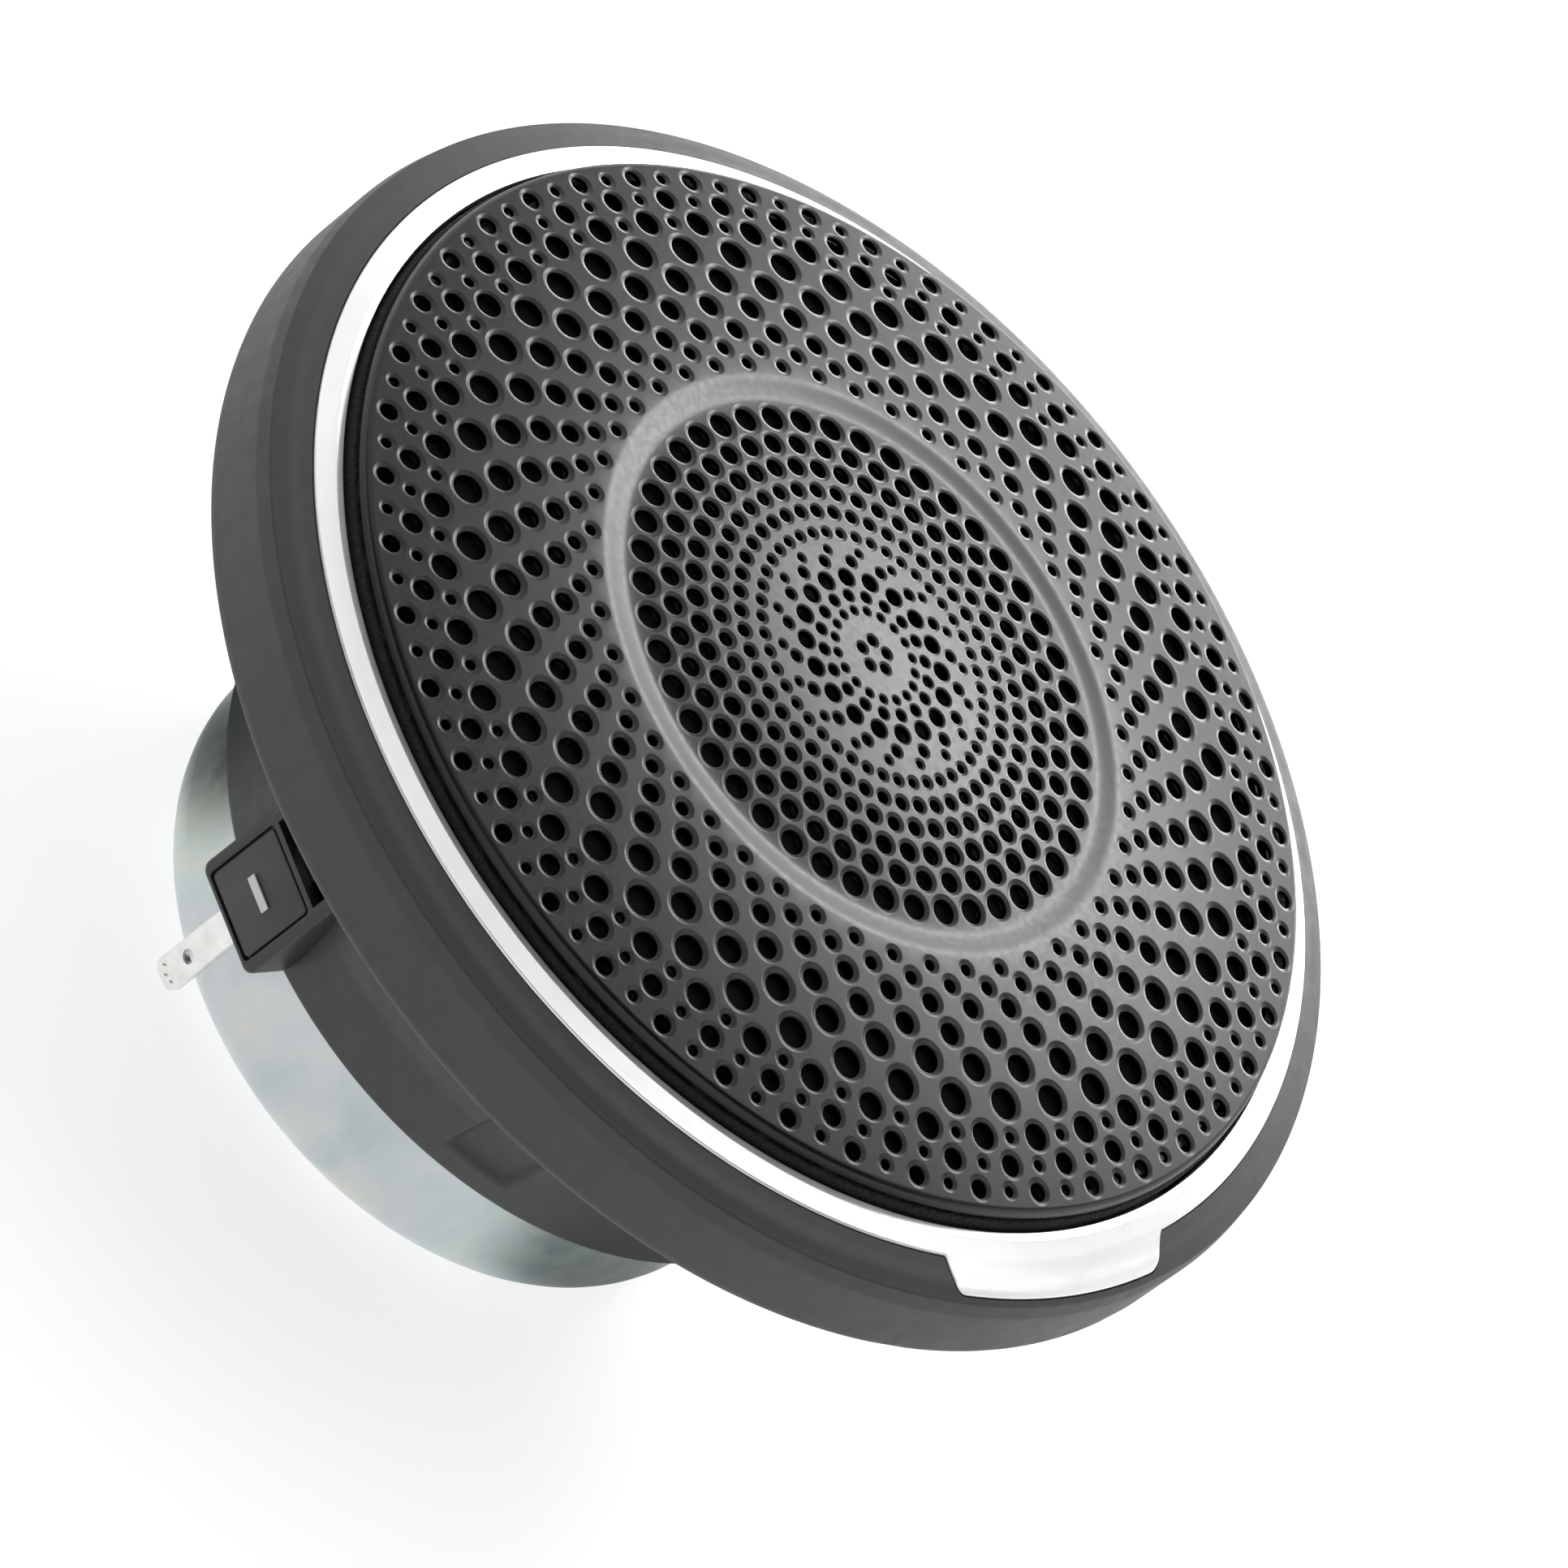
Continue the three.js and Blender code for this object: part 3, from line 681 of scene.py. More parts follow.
def tray_body():
    """The tray ring, with the nameplate's pocket sunk into its front face.

    Its section is the same all round, apart from the pocket's heights. The columns at the pocket
    follow its outline, so that it has clean sides and corners.
    """
    pocket_outer = PLATE["outer"] + POCKET_GAP
    corner_start = pocket_outer - PLATE["corner"]
    arc = [corner_start + PLATE["corner"] * math.sin(math.radians(a)) for a in (15, 30, 45, 60, 75, 90)]
    radii = np.array([49.08, 49.2, 49.5, 49.8, 50.1, 50.4, 50.7, *arc])
    surface = front_height(radii)
    back = rounded(
        [
            (48.95, 47.9),
            (47.6, 47.9, 0.2),
            (47.6, 44, 0.25),
            (42.7, 44, 0.4),
            (42.7, 42.5, 0.15),
            (49.9, 42.5),
            (49.9, 39.8, 0.2),
            (52.2, 39.8, 1.9),
            (52.2, 46.2, 1.6),
            (51.9, 47.6, 0.35),
            (51.7, 47.74),
        ],
        steps=6,
    )
    back_r, back_z = np.array(back).T
    lip_r, lip_z = 51.68, front_height(51.68)
    front_z = np.concatenate((surface[::-1], [48.99, 48.92]))
    r = np.concatenate((back_r, [lip_r, radii[-1]], radii[::-1], [48.98, 48.95]))
    plain = np.concatenate((back_z, [lip_z, surface[-1]], front_z))
    low = np.concatenate((back_z, [lip_z, surface[-1]], front_z - POCKET_SUNK))
    half = plate_half_angle(np.clip(r, PLATE["root"], pocket_outer), POCKET_GAP)
    half[: len(back_r)] = plate_half_angle(pocket_outer, POCKET_GAP)
    half[:INNER_POINTS] = plate_half_angle(PLATE["root"], POCKET_GAP)

    def column(offsets, heights):
        angles = np.radians(PLATE["azimuth"] + offsets)
        return np.column_stack((r * np.cos(angles), r * np.sin(angles), heights))

    widest = float(half.max())
    columns = [column(-half, plain)]
    for share in np.linspace(-1, 1, 41):
        columns.append(column(half * share, low))
    columns.append(column(half, plain))
    for degrees in np.linspace(widest + 0.4, 360 - widest - 0.4, FINE):
        columns.append(column(np.full_like(r, degrees), plain))
    return loft("tray_body", columns, 40)


stand_in(drilled(tray_body(), 1.7, 42, 44.6), "driver", "tray_ring")


def screw(index, degrees):
    """A pan-head screw with a crossed recess."""
    outline = [(0, 40.2), (1.3, 40.7, 0.2), (1.3, 44.3), (2.1, 44.3, 0.15), (2.1, 45.9, 0.7), (0, 45.9)]
    head = lathe(f"screw_{index}", rounded(outline, steps=6), 40)
    half_long, half_wide = 1.35, 0.22
    arms = [
        box("arm", (-half_long, -half_wide, 45.0), (half_long, half_wide, 47)),
        box("arm", (-half_wide, -half_long, 45.0), (half_wide, half_long, 47)),
    ]
    carve(head, arms)
    shade(head, 35)
    head.data.transform(Matrix.Translation((SCREW_CIRCLE * MM, 0, 0)))
    return spin(head, degrees)


for index, degrees in enumerate(SCREW_ANGLES, start=1):
    stand_in(screw(index, degrees), "driver", f"tray_screw_{index}")


# ---------------------------------------------------------------- trim ring and blank nameplate

TRIM_OUTER = 48.88  # radius of the band where the nameplate doesn't widen it


def plate_reach():
    """Radii of the nameplate's outline against the angle from its middle, for interpolation."""
    table = np.linspace(PLATE["root"], PLATE["outer"], 400)
    half = plate_half_angle(table)
    return half[::-1], table[::-1]


def trim_body():
    """The band and the blank nameplate in one piece, as closed sections of equal length."""
    inner = rounded(
        [(46.6, 48.2, 0.1), (46.6, 49.66, 0.05), (46.68, 49.75, 0.05), (47.3, 49.75, 0.12), (48.0, 49.51)],
        steps=3,
        support=0.06,
    )
    inner = np.array(inner)
    shares = np.array([0.0, 0.08, 0.16, 0.26, 0.38, 0.5, 0.62, 0.74, 0.84, 0.92, 1.0])
    edge_drop = ((0.10, 0.02), (0.05, 0.05), (0.02, 0.11))  # rounding of the outer edge: inset, drop
    halves, reaches = plate_reach()
    left_side, right_side = np.arange(-17, -10, 0.08), np.arange(10, 17.01, 0.08)
    middle, far = np.arange(-10, 10, 0.5), np.linspace(18, 342, 260)
    columns = []
    for offset in np.concatenate((left_side, middle, right_side, far)):
        away = abs((offset + 180) % 360 - 180)
        reach = float(np.interp(away, halves, reaches)) if away < halves.max() else 0.0
        reach = max(reach, TRIM_OUTER)
        rows = TRIM_OUTER - 0.5 + (reach - TRIM_OUTER + 0.5 - 0.1) * shares
        band = np.interp(rows, [47.25, 49.1], [49.75, 49.155])
        mix = smooth_step(rows, 48.7, 0.5)
        top = band * (1 - mix) + (front_height(rows) + 0.1) * mix
        last = float(top[-1])
        section = [*map(tuple, inner), *zip(rows, top)]
        section += [(reach - inset, last - drop) for inset, drop in edge_drop]
        section += [(reach, last - 0.2), (reach, last - 0.5)]
        section += [(TRIM_OUTER - 0.02, 48.62), (TRIM_OUTER - 0.08, 48.2)]
        columns.append(turned(section, math.radians(PLATE["azimuth"] + offset)))
    return loft("trim_body", columns, 34)


stand_in(trim_body(), "grille_unit", "trim_ring")


def spring_clip(degrees):
    """A short leg under the trim with a small outward barb near its tip."""
    inner, tip = 46.4, 45.2
    outline = [(inner, tip), (46.7, tip), (47.1, 46.2), (47.1, 46.5)]
    outline += [(46.95, 46.9), (46.95, 48.6), (inner, 48.6)]
    size = len(outline)
    vertices = []
    for across, ease in ((-3, 0.12), (-2.9, 0), (2.9, 0), (3, 0.12)):
        for r, z in outline:
            vertices.append((r - (ease if r > inner else 0), across, z + (ease if z == tip else 0)))
    faces = [tuple(range(size)), tuple(range(3 * size, 4 * size))]
    for j in range(3):
        for i in range(size):
            after = (i + 1) % size
            faces.append((j * size + i, j * size + after, (j + 1) * size + after, (j + 1) * size + i))
    return spin(add_mesh(f"trim_clip_{degrees}", vertices, faces, 35), degrees)


for degrees in (0, 90, 180, 270):
    stand_in(spring_clip(degrees), "grille_unit", "trim_ring")


# ---------------------------------------------------------------- perforated grille

# The sheet is a dome with a low step up at its middle: its slope is the dome's plus a flat-topped rise.
GRILLE = {
    "outer_curve": 0.0034,
    "inner_curve": 0.0052,
    "step": 24.33,
    "step_width": 1.08,
    "step_slope": 0.215,
    "rim_radius": 46.0,
    "rim_height": 51.75,
    "sheet": 0.5,
}

# radius, diameter of the dark opening, holes in the ring, first azimuth
HOLE_RINGS = [
    (1.30, 0.95, 5, 2.51),
    (3.95, 0.72, 18, 13.44),
    (5.26, 1.00, 18, 11.14),
    (6.87, 1.54, 18, 5.29),
    (8.42, 0.98, 18, 17.10),
    (9.40, 0.71, 18, 10.66),
    (10.97, 0.80, 45, 6.65),
    (12.91, 1.10, 45, 6.67),
    (14.86, 1.22, 45, 2.65),
    (17.01, 1.59, 45, 6.65),
    (19.18, 1.67, 45, 2.62),
    (21.59, 2.05, 45, 6.62),
    (26.53, 0.96, 45, 7.60),
    (27.98, 1.15, 45, 3.29),
    (29.68, 1.56, 45, 6.66),
    (31.98, 1.81, 45, 1.55),
    (34.48, 2.24, 45, 4.87),
    (37.28, 2.50, 45, 0.56),
    (39.99, 2.17, 45, 4.26),
    (39.99, 0.90, 45, 0.26),
    (42.23, 1.75, 45, 7.42),
    (42.23, 0.90, 45, 3.42),
    (44.30, 1.51, 45, 2.45),
    (44.30, 0.90, 45, 6.45),
]

LIP_WIDTH = 0.8  # the widest drawn-in lip round a hole
LIP_GAP = 0.03  # half the flat strip left between two lips


def grille_heights():
    """A table of the sheet's height against radius, summed from its slope inwards from the rim."""
    radius = np.linspace(0, GRILLE["rim_radius"], 4601)
    offset = radius - GRILLE["step"]
    mix = 0.5 * (1 + np.tanh(offset / 0.8))
    curve = GRILLE["inner_curve"] * (1 - mix) + GRILLE["outer_curve"] * mix
    slope = -curve * radius + GRILLE["step_slope"] * np.exp(-((offset / GRILLE["step_width"]) ** 4))
    rise = np.concatenate(([0], np.cumsum(0.5 * (slope[1:] + slope[:-1]) * np.diff(radius))))
    return radius, GRILLE["rim_height"] + rise - rise[-1]


HEIGHT_TABLE = grille_heights()


def grille_height(radius):
    return np.interp(radius, *HEIGHT_TABLE)


RIM_RING = 45.52  # where the dome ends and the rolled rim starts
STEP_INSIDE = 23.1  # no lip crosses this ring or the next
STEP_OUTSIDE = 25.58
# The rolled rim's section, from the dome's edge round to the sheet's underside
RIM_LINE = (
    (45.66, 51.8), (45.8, 51.7), (45.91, 51.53), (45.97, 51.3), (46.0, 51.0), (46.0, 50.78),
    (45.92, 50.7), (45.48, 50.7), (45.4, 50.78),
)


def dome_normals(points):
    """The sheet's upward normals at (x, y) points."""
    radius = np.hypot(points[:, 0], points[:, 1])
    slope = (grille_height(radius + 0.03) - grille_height(np.maximum(radius - 0.03, 0))) / 0.06
    slope = np.where(radius < 0.03, 0, slope)
    outward = points / np.maximum(radius, 1e-6)[:, None]
    normals = np.column_stack((-slope[:, None] * outward, np.ones(len(points))))
    return normals / np.linalg.norm(normals, axis=1)[:, None]


def hole_plan():
    """Every hole as (centre, azimuth, sides, clear radius, lip width)."""
    holes = []
    for ring, (radius, diameter, count, first) in enumerate(HOLE_RINGS):
        sides = 28 if diameter > 2 else 24 if diameter > 1.4 else 20 if diameter > 0.95 else 16
        for k in range(count):
            azimuth = math.radians(first + 360 * k / count)
            centre = np.array((radius * math.cos(azimuth), radius * math.sin(azimuth)))
            holes.append((centre, azimuth, sides, diameter / 2, ring))
    centres = np.array([hole[0] for hole in holes])
    clear = np.array([hole[3] for hole in holes])
    rings = np.array([hole[4] for hole in holes])
    apart = np.hypot(*(centres[:, None] - centres[None]).transpose(2, 0, 1))
    np.fill_diagonal(apart, np.inf)
    gap = (apart - clear[:, None] - clear[None]).min(1)
    radius = np.hypot(*centres.T)
    for edge in (STEP_INSIDE, STEP_OUTSIDE, RIM_RING):
        gap = np.minimum(gap, 2 * (abs(radius - edge) - clear))
    plan = []
    for centre, azimuth, sides, size, ring in holes:
        lip = min(LIP_WIDTH, 0.5 * gap[rings == ring].min() - LIP_GAP)
        plan.append((centre, azimuth, sides, size, lip))
    return plan


def spokes(azimuth, sides):
    """Unit directions, evenly spaced round a circle."""
    angles = azimuth + 2 * math.pi * np.arange(sides) / sides
    return np.column_stack((np.cos(angles), np.sin(angles)))


def circle_points(radius, count):
    return radius * spokes(0, count)


def sheet_triangles(plan):
    """The sheet in plan: its points, the triangles between lips, and where lips and rim start."""
    parts, constraints, starts = [], [], []
    total = 0
    for centre, azimuth, sides, clear, lip in plan:
        parts.append(centre + (clear + lip) * spokes(azimuth, sides))
        constraints += [(total + i, total + (i + 1) % sides) for i in range(sides)]
        starts.append(total)
        total += sides
    for radius in (STEP_INSIDE, 23.3, 23.5, 23.75, 24.05, 24.35, 24.65, 24.95, 25.2, 25.4, STEP_OUTSIDE):
        parts.append(circle_points(radius, FINE))
        total += FINE
    parts.append(circle_points(2.45, 40))
    total += 40
    rim_start = total
    parts.append(circle_points(RIM_RING, FINE))
    constraints += [(rim_start + i, rim_start + (i + 1) % FINE) for i in range(FINE)]
    flat = np.vstack(parts)
    made = delaunay_2d_cdt([Vector(p) for p in flat], constraints, [], 0, 1e-7, True)
    original = [ids[0] if ids else -1 for ids in made[3]]
    if -1 in original or len(original) != len(flat):
        raise RuntimeError("the grille's lips cross each other")
    owner = np.full(len(flat), -1)
    for number, (start, hole) in enumerate(zip(starts, plan)):
        owner[start : start + hole[2]] = number
    kept = []
    for triangle in made[2]:
        a, b, c = (original[i] for i in triangle)
        if owner[a] < 0 or not owner[a] == owner[b] == owner[c]:
            kept.append((a, b, c))
    return flat, kept, starts, rim_start


# A lip's section: share of its width in from the outside, and the tilt there in degrees
LIP_SECTION = ((0.1, 6), (0.25, 12), (0.5, 16), (0.75, 20), (0.9, 30), (1.0, 48))


def lip_line(width):
    """A lip as (distance in from its outside, drop, tilt): a shallow cone, then the hole's edge."""
    line = []
    drop = tilt = before = 0.0
    for share, degrees in LIP_SECTION:
        steeper = math.radians(degrees)
        drop += width * (share - before) * math.tan(0.5 * (tilt + steeper))
        tilt, before = steeper, share
        line.append((width * share, drop, tilt))
    return line + [(width, drop + 0.04, math.radians(88))]


def perforated_sheet():
    """The sheet with its holes and lips, and with normals worked out from its shape."""
    plan = hole_plan()
    flat, kept, starts, rim_start = sheet_triangles(plan)
    count = len(flat)
    radius = np.hypot(flat[:, 0], flat[:, 1])
    top = np.column_stack((flat, grille_height(radius)))
    under = top - (0, 0, GRILLE["sheet"])
    for start, (centre, azimuth, sides, clear, _) in zip(starts, plan):
        edge = centre + clear * spokes(azimuth, sides)
        height = grille_height(np.hypot(*edge.T)) - GRILLE["sheet"]
        under[start : start + sides] = np.column_stack((edge, height))
    under[rim_start:, :2] *= 45.4 / RIM_RING
    under[rim_start:, 2] = 50.9
    vertices = [top, under]
    normals = [dome_normals(flat), np.tile((0, 0, -1.0), (count, 1))]
    faces = list(kept) + [(count + a, count + c, count + b) for a, b, c in kept]
    total = 2 * count

    def bridge(first, second):
        size = len(first)
        for i in range(size):
            after = (i + 1) % size
            faces.append((first[i], second[i], second[after], first[after]))

    for start, (centre, azimuth, sides, clear, lip) in zip(starts, plan):
        outward = spokes(azimuth, sides)
        previous = list(range(start, start + sides))
        for across, drop, tilt in lip_line(lip):
            points = centre + (clear + lip - across) * outward
            vertices.append(np.column_stack((points, grille_height(np.hypot(*points.T)) - drop)))
            side = np.column_stack((-outward * math.sin(tilt), np.zeros(sides)))
            normals.append(side + dome_normals(points) * math.cos(tilt))
            ring = list(range(total, total + sides))
            total += sides
            bridge(previous, ring)
            previous = ring
        bridge(previous, list(range(count + start, count + start + sides)))
    around = spokes(0, FINE)
    previous = list(range(rim_start, rim_start + FINE))
    line = np.array(RIM_LINE)
    for i, (r, z) in enumerate(RIM_LINE):
        vertices.append(np.column_stack((r * around, np.full(FINE, z))))
        along = line[min(i + 1, len(line) - 1)] - line[max(i - 1, 0)]
        out, up = -along[1] / np.hypot(*along), along[0] / np.hypot(*along)
        normals.append(np.column_stack((out * around, np.full(FINE, up))))
        ring = list(range(total, total + FINE))
        total += FINE
        bridge(previous, ring)
        previous = ring
    bridge(previous, list(range(count + rim_start, count + rim_start + FINE)))
    return add_mesh("grille_sheet", np.vstack(vertices), faces, 180, np.vstack(normals))


stand_in(perforated_sheet(), "grille_unit", "grille")


CLOTH_RADIUS = 43.5


def cloth_outline():
    """A domed disc that stays clear of the sheet's underside."""
    radii = np.array([0, 4, 8, 12, 16, 20, 23, 26, 30, 34, 38, 41, CLOTH_RADIUS])
    line = [(r, 54.3 - 3.6 * (r / 46) ** 2) for r in radii]
    line = [(r, min(z, float(grille_height(r)) - 0.95)) for r, z in line]
    return line + [(r, z - 0.25) for r, z in reversed(line)]


cloth = stand_in(lathe("grille_cloth_disc", cloth_outline(), MID, 60), "grille_unit", "grille_cloth")
retainer = rounded([(41.6, 48.6, 0.3), (44.6, 48.6, 0.3), (44.6, 50.3, 0.2), (41.6, 50.3, 0.2)])
stand_in(lathe("cloth_clamp", retainer, MID), "grille_unit", "cloth_retainer")


def foam_strip():
    """The foam between grille and trim, its skin roughened by seeded random steps."""
    noise = np.random.default_rng(7)
    corners = [(44.9, 48.4), (46.3, 48.4, 0.2), (46.3, 50.05, 0.1), (46.05, 50.4, 0.15), (44.9, 50.4)]
    outline = np.array(rounded(corners, steps=3))
    centre = outline.mean(axis=0)
    columns = []
    segments = 900
    for k in range(segments):
        angle = 2 * math.pi * k / segments
        shrink = 1 - 0.09 * noise.random((len(outline), 1))
        columns.append(turned(centre + (outline - centre) * shrink, angle))
    return loft("foam_strip", columns, 60)


stand_in(foam_strip(), "grille_unit", "foam_ring")


# ---------------------------------------------------------------- cone, dust cap, surround and spider

CONE_LINE = [(13.25, 29.5), (14.4, 31.2, 1.5), (20, 34.6, 12), (27, 38, 12), (33.4, 40.4, 2), (34.8, 40.4)]


def cone_outline():
    """The cone's lower face and, 0.6 mm above it, the upper one with its fine ribs."""
    lower = rounded(CONE_LINE, steps=6)
    line = [lower[0]]
    for (r0, z0), (r1, z1) in zip(lower, lower[1:]):
        parts = max(1, int(math.hypot(r1 - r0, z1 - z0) / 0.6))
        line += [(r0 + (r1 - r0) * k / parts, z0 + (z1 - z0) * k / parts) for k in range(1, parts + 1)]
    ribbed = []
    for r, z in reversed(line):
        ripple = 0.05 * math.cos(2 * math.pi * r / 2.4) if 20 < r < 32 else 0
        ribbed.append((r, z + 0.6 + ripple))
    return line + ribbed


stand_in(lathe("cone_body", cone_outline(), FINE, 60), "moving_cone", "cone")

cap_radii = np.linspace(0, 16.4, 20)
cap_line = [(r, 33.5 + 4 * (1 - (r / 16.4) ** 2)) for r in cap_radii]
cap_outline = cap_line + [(r, z + 0.5) for r, z in reversed(cap_line)]
stand_in(lathe("dust_dome", cap_outline, MID, 60), "moving_cone", "dust_cap")

clamp_outline = rounded([(40.6, 43.3, 0.1), (42.4, 43.3, 0.1), (42.4, 44.4, 0.3), (40.6, 44.4, 0.3)])
stand_in(lathe("clamp_ring", clamp_outline, FINE), "driver", "surround_clamp")


def sector(name, outline, middle, width, steps):
    """A wedge of a turned ring, open at both cut faces, where its neighbours meet it."""
    angles = np.radians(np.linspace(middle - width / 2, middle + width / 2, steps + 1))
    return loft(name, [turned(outline, angle) for angle in angles], 70, round_trip=False)


def roll_outline():
    """The half-roll surround with its two flat feet."""
    shares = np.linspace(0, 1, 19)
    line = [(33.4, 41.3), (34.0, 41.3), (34.6, 41.3)]
    for share in shares:
        foot = 41.3 + (42.5 - 41.3) * share
        line.append((34.8 + 5.6 * share, foot + 3.2 * math.sin(math.pi * share) ** 0.8))
    line += [(40.6, 42.5), (41.6, 42.5), (42.4, 42.5)]
    return line + [(r, z + 0.5) for r, z in reversed(line)]


def spider_outline():
    """The corrugated disc between its inner and outer feet."""
    line = [(13.25, 23.7), (14.0, 23.7)]
    for share in np.linspace(0, 1, 49):
        line.append((14.8 + 13.2 * share, 23.7 + 0.55 * (1 - math.cos(8 * math.pi * share))))
    line += [(29.2, 23.7), (30.8, 23.7)]
    return line + [(r, z + 0.45) for r, z in reversed(line)]


SECTORS = 24


def flexing_ring(prefix, outline, node):
    """A ring in wedges, each a piece of its own, from the driver at its outer radius to the cone at its
    inner one.
    """
    width = 360 / SECTORS
    for k in range(SECTORS):
        middle = k * width
        piece = sector(f"{prefix}_{k + 1}", outline, middle, width, 8)
        bend_between(piece, node)


flexing_ring("surround_wedge", roll_outline(), "surround")
flexing_ring("spider_wedge", spider_outline(), "spider")


# ---------------------------------------------------------------- terminals

# A terminal's box: the radius of its face, its width, its rear, where its mouth opens, the mouth's
# front and the wall
HOUSING = {"face": 36.6, "width": 9.7, "rear": 15.6, "front": 25.0, "mouth": 29.0, "wall": 1.15}
COVER_WIDTH, COVER_LENGTH, COVER_MIDDLE = 7.2, 7.8, 20.3
COVER_REAR, COVER_FRONT = COVER_MIDDLE - COVER_LENGTH / 2, COVER_MIDDLE + COVER_LENGTH / 2
TAB_FACE, TAB_THICK = 35.4, 0.8


def housing(name, tab_width):
    """A terminal's box with a seat for its cover, an open mouth and a slot for the blade."""
    h = HOUSING
    body = prism("housing_" + name, plate_outline(h["width"], h["rear"], h["mouth"], 0.9), 32.6, h["face"])
    body = bevel(body, 0.35, 3)
    inside = h["width"] / 2 - h["wall"]
    seat = plate_outline(COVER_WIDTH + 0.5, COVER_REAR - 0.25, COVER_FRONT + 0.25, 0.45)
    slot = tab_width / 2 + 0.2
    cutters = [
        box("cavity", (28, -inside, h["rear"] + 1.2), (35.65, inside, 40)),
        box("mouth", (28, -inside, h["front"]), (40, inside, 40)),
        prism("seat", seat, h["face"] - 0.5, 40),
        box("slot", (34.4, -slot, h["rear"] - 1), (35.6, slot, h["rear"] + 2)),
    ]
    carve(body, cutters)
    bevel(body, 0.12, 2, 50)
    return body


DIMPLE = [(0, -0.3), (0.16, -0.25), (0.26, -0.1), (0.3, 0.0), (0.3, 0.3), (0, 0.3)]


def blade(name, width, hole_radius):
    """A blade terminal with a round hole and three small dimples at its tip."""
    half, tip, top = width / 2, 6.0, 26.2
    corners = [(-half, tip, 0.85), (half, tip, 0.85), (half, top), (-half, top)]
    outline = rounded(corners, steps=8, support=0)
    body = prism("blade_" + name, outline, TAB_FACE - TAB_THICK, TAB_FACE)
    hole = rod("hole", hole_radius, 30, 40)
    hole.data.transform(Matrix.Translation((0, 0, -35 * MM)))
    hole.data.transform(Matrix.Rotation(math.radians(90), 4, "Y"))
    hole.data.transform(Matrix.Translation((35 * MM, 0, 9.6 * MM)))
    cutters = [hole]
    for across, along in ((-0.75, 7.0), (0.0, 6.75), (0.75, 7.0)):
        dimple = lathe("dimple", DIMPLE, 16)
        dimple.data.transform(Matrix.Rotation(math.radians(90), 4, "Y"))
        dimple.data.transform(Matrix.Translation(((TAB_FACE + 0.12) * MM, across * MM, along * MM)))
        cutters.append(dimple)
    carve(body, cutters)
    bevel(body, 0.09, 2, 50)
    return body


def sign(name):
    """A raised minus, or a plus made as one outline."""
    low, high = 36.6, 36.75
    long, wide, middle = 1.5, 0.425, COVER_MIDDLE
    if name == "neg":
        return prism("mark_" + name, plate_outline(2 * long, middle - wide, middle + wide, 0.04), low, high)
    quarter = [(long, -wide), (long, wide), (wide, wide)]
    outline = []
    for _ in range(4):
        outline += quarter
        quarter = [(-y, x) for x, y in quarter]
    return prism("mark_" + name, [(x, y + middle) for x, y in outline], low, high)


def bead(name):
    """Solder that has run round the end of the blade."""
    outline = [(math.sin(math.pi * k / 12), -math.cos(math.pi * k / 12)) for k in range(13)]
    body = lathe("bead_" + name, outline, 32, 80)
    body.data.transform(Matrix.Diagonal((0.9, 1.25, 0.75, 1)))
    body.data.transform(Matrix.Translation((35.0 * MM, 0, 27.25 * MM)))
    return body


# A lead's way from the blade to the cone's neck, at azimuth 0
LEAD = [(33.8, 0, 27.2), (31.6, 0, 28), (28.8, 0, 27.6), (26, 0, 27.8), (23.6, 0, 30), (22.4, 0, 33.4)]

for name, angle, tab_width, hole_radius in TERMINALS:
    stand_in(spin(housing(name, tab_width), angle), "driver", "terminal_housing_" + name)
    outline = plate_outline(COVER_WIDTH, COVER_REAR, COVER_FRONT, 0.4)
    cover = prism("cover_" + name, outline, 36.15, 36.55)
    stand_in(spin(bevel(cover, 0.08, 2), angle), "driver", "terminal_plate_" + name)
    stand_in(spin(sign(name), angle), "driver", "polarity_mark_" + name)
    stand_in(spin(blade(name, tab_width, hole_radius), angle), "driver", "terminal_tab_" + name)
    stand_in(spin(bead(name), angle), "driver", "solder_" + name)
    lead = spin(tube("lead_" + name, LEAD, 0.4), angle)
    bend_between(lead, "tinsel_lead_" + name)


# ---------------------------------------------------------------- floor, camera and light


FLOOR_REACH = 4.0  # metres each way from the axis
FLOOR_HEIGHT = -2e-5  # metres, just under the motor's back
FLOOR_GLOW = 0.72


def flat_piece(name, corners, material):
    """One flat polygon of the studio, from corners in metres."""
    mesh = bpy.data.meshes.new(name)
    mesh.from_pydata(corners, [], [tuple(range(len(corners)))])
    piece = bpy.data.objects.new(name, mesh)
    piece.data.materials.append(material)
    bpy.context.scene.collection.objects.link(piece)
    return piece


def paint_floor():
    """A pale sheet lit partly from below, so that the shadows on it stay soft."""
    s = Surface("floor_paint", Roughness=0.7, Specular_IOR_Level=0.0)
    s.colour(s.noise(60, 2), [(0.3, grey(0.5)), (0.7, grey(0.52))])
    s.shader.inputs["Emission Color"].default_value = (1, 1, 1, 1)
    s.shader.inputs["Emission Strength"].default_value = FLOOR_GLOW
    return s.material


signs = ((-1, -1), (1, -1), (1, 1), (-1, 1))
floor_corners = [(x * FLOOR_REACH, y * FLOOR_REACH, FLOOR_HEIGHT) for x, y in signs]
flat_piece("floor", floor_corners, paint_floor())

# Two dark patches lie on the floor beside the motor. Only reflections see them: they paint a dark
# reflection of shade onto the motor's side.
# name, x, y, radius, glow in the middle
REFLECTED_SHADE_PATCHES = (("reflected_shade_left", -24, 37, 26, 0.05), ("reflected_shade_right", 4, -38, 24, 0.2))
REFLECTED_SHADE_HEIGHT = 5e-5  # metres


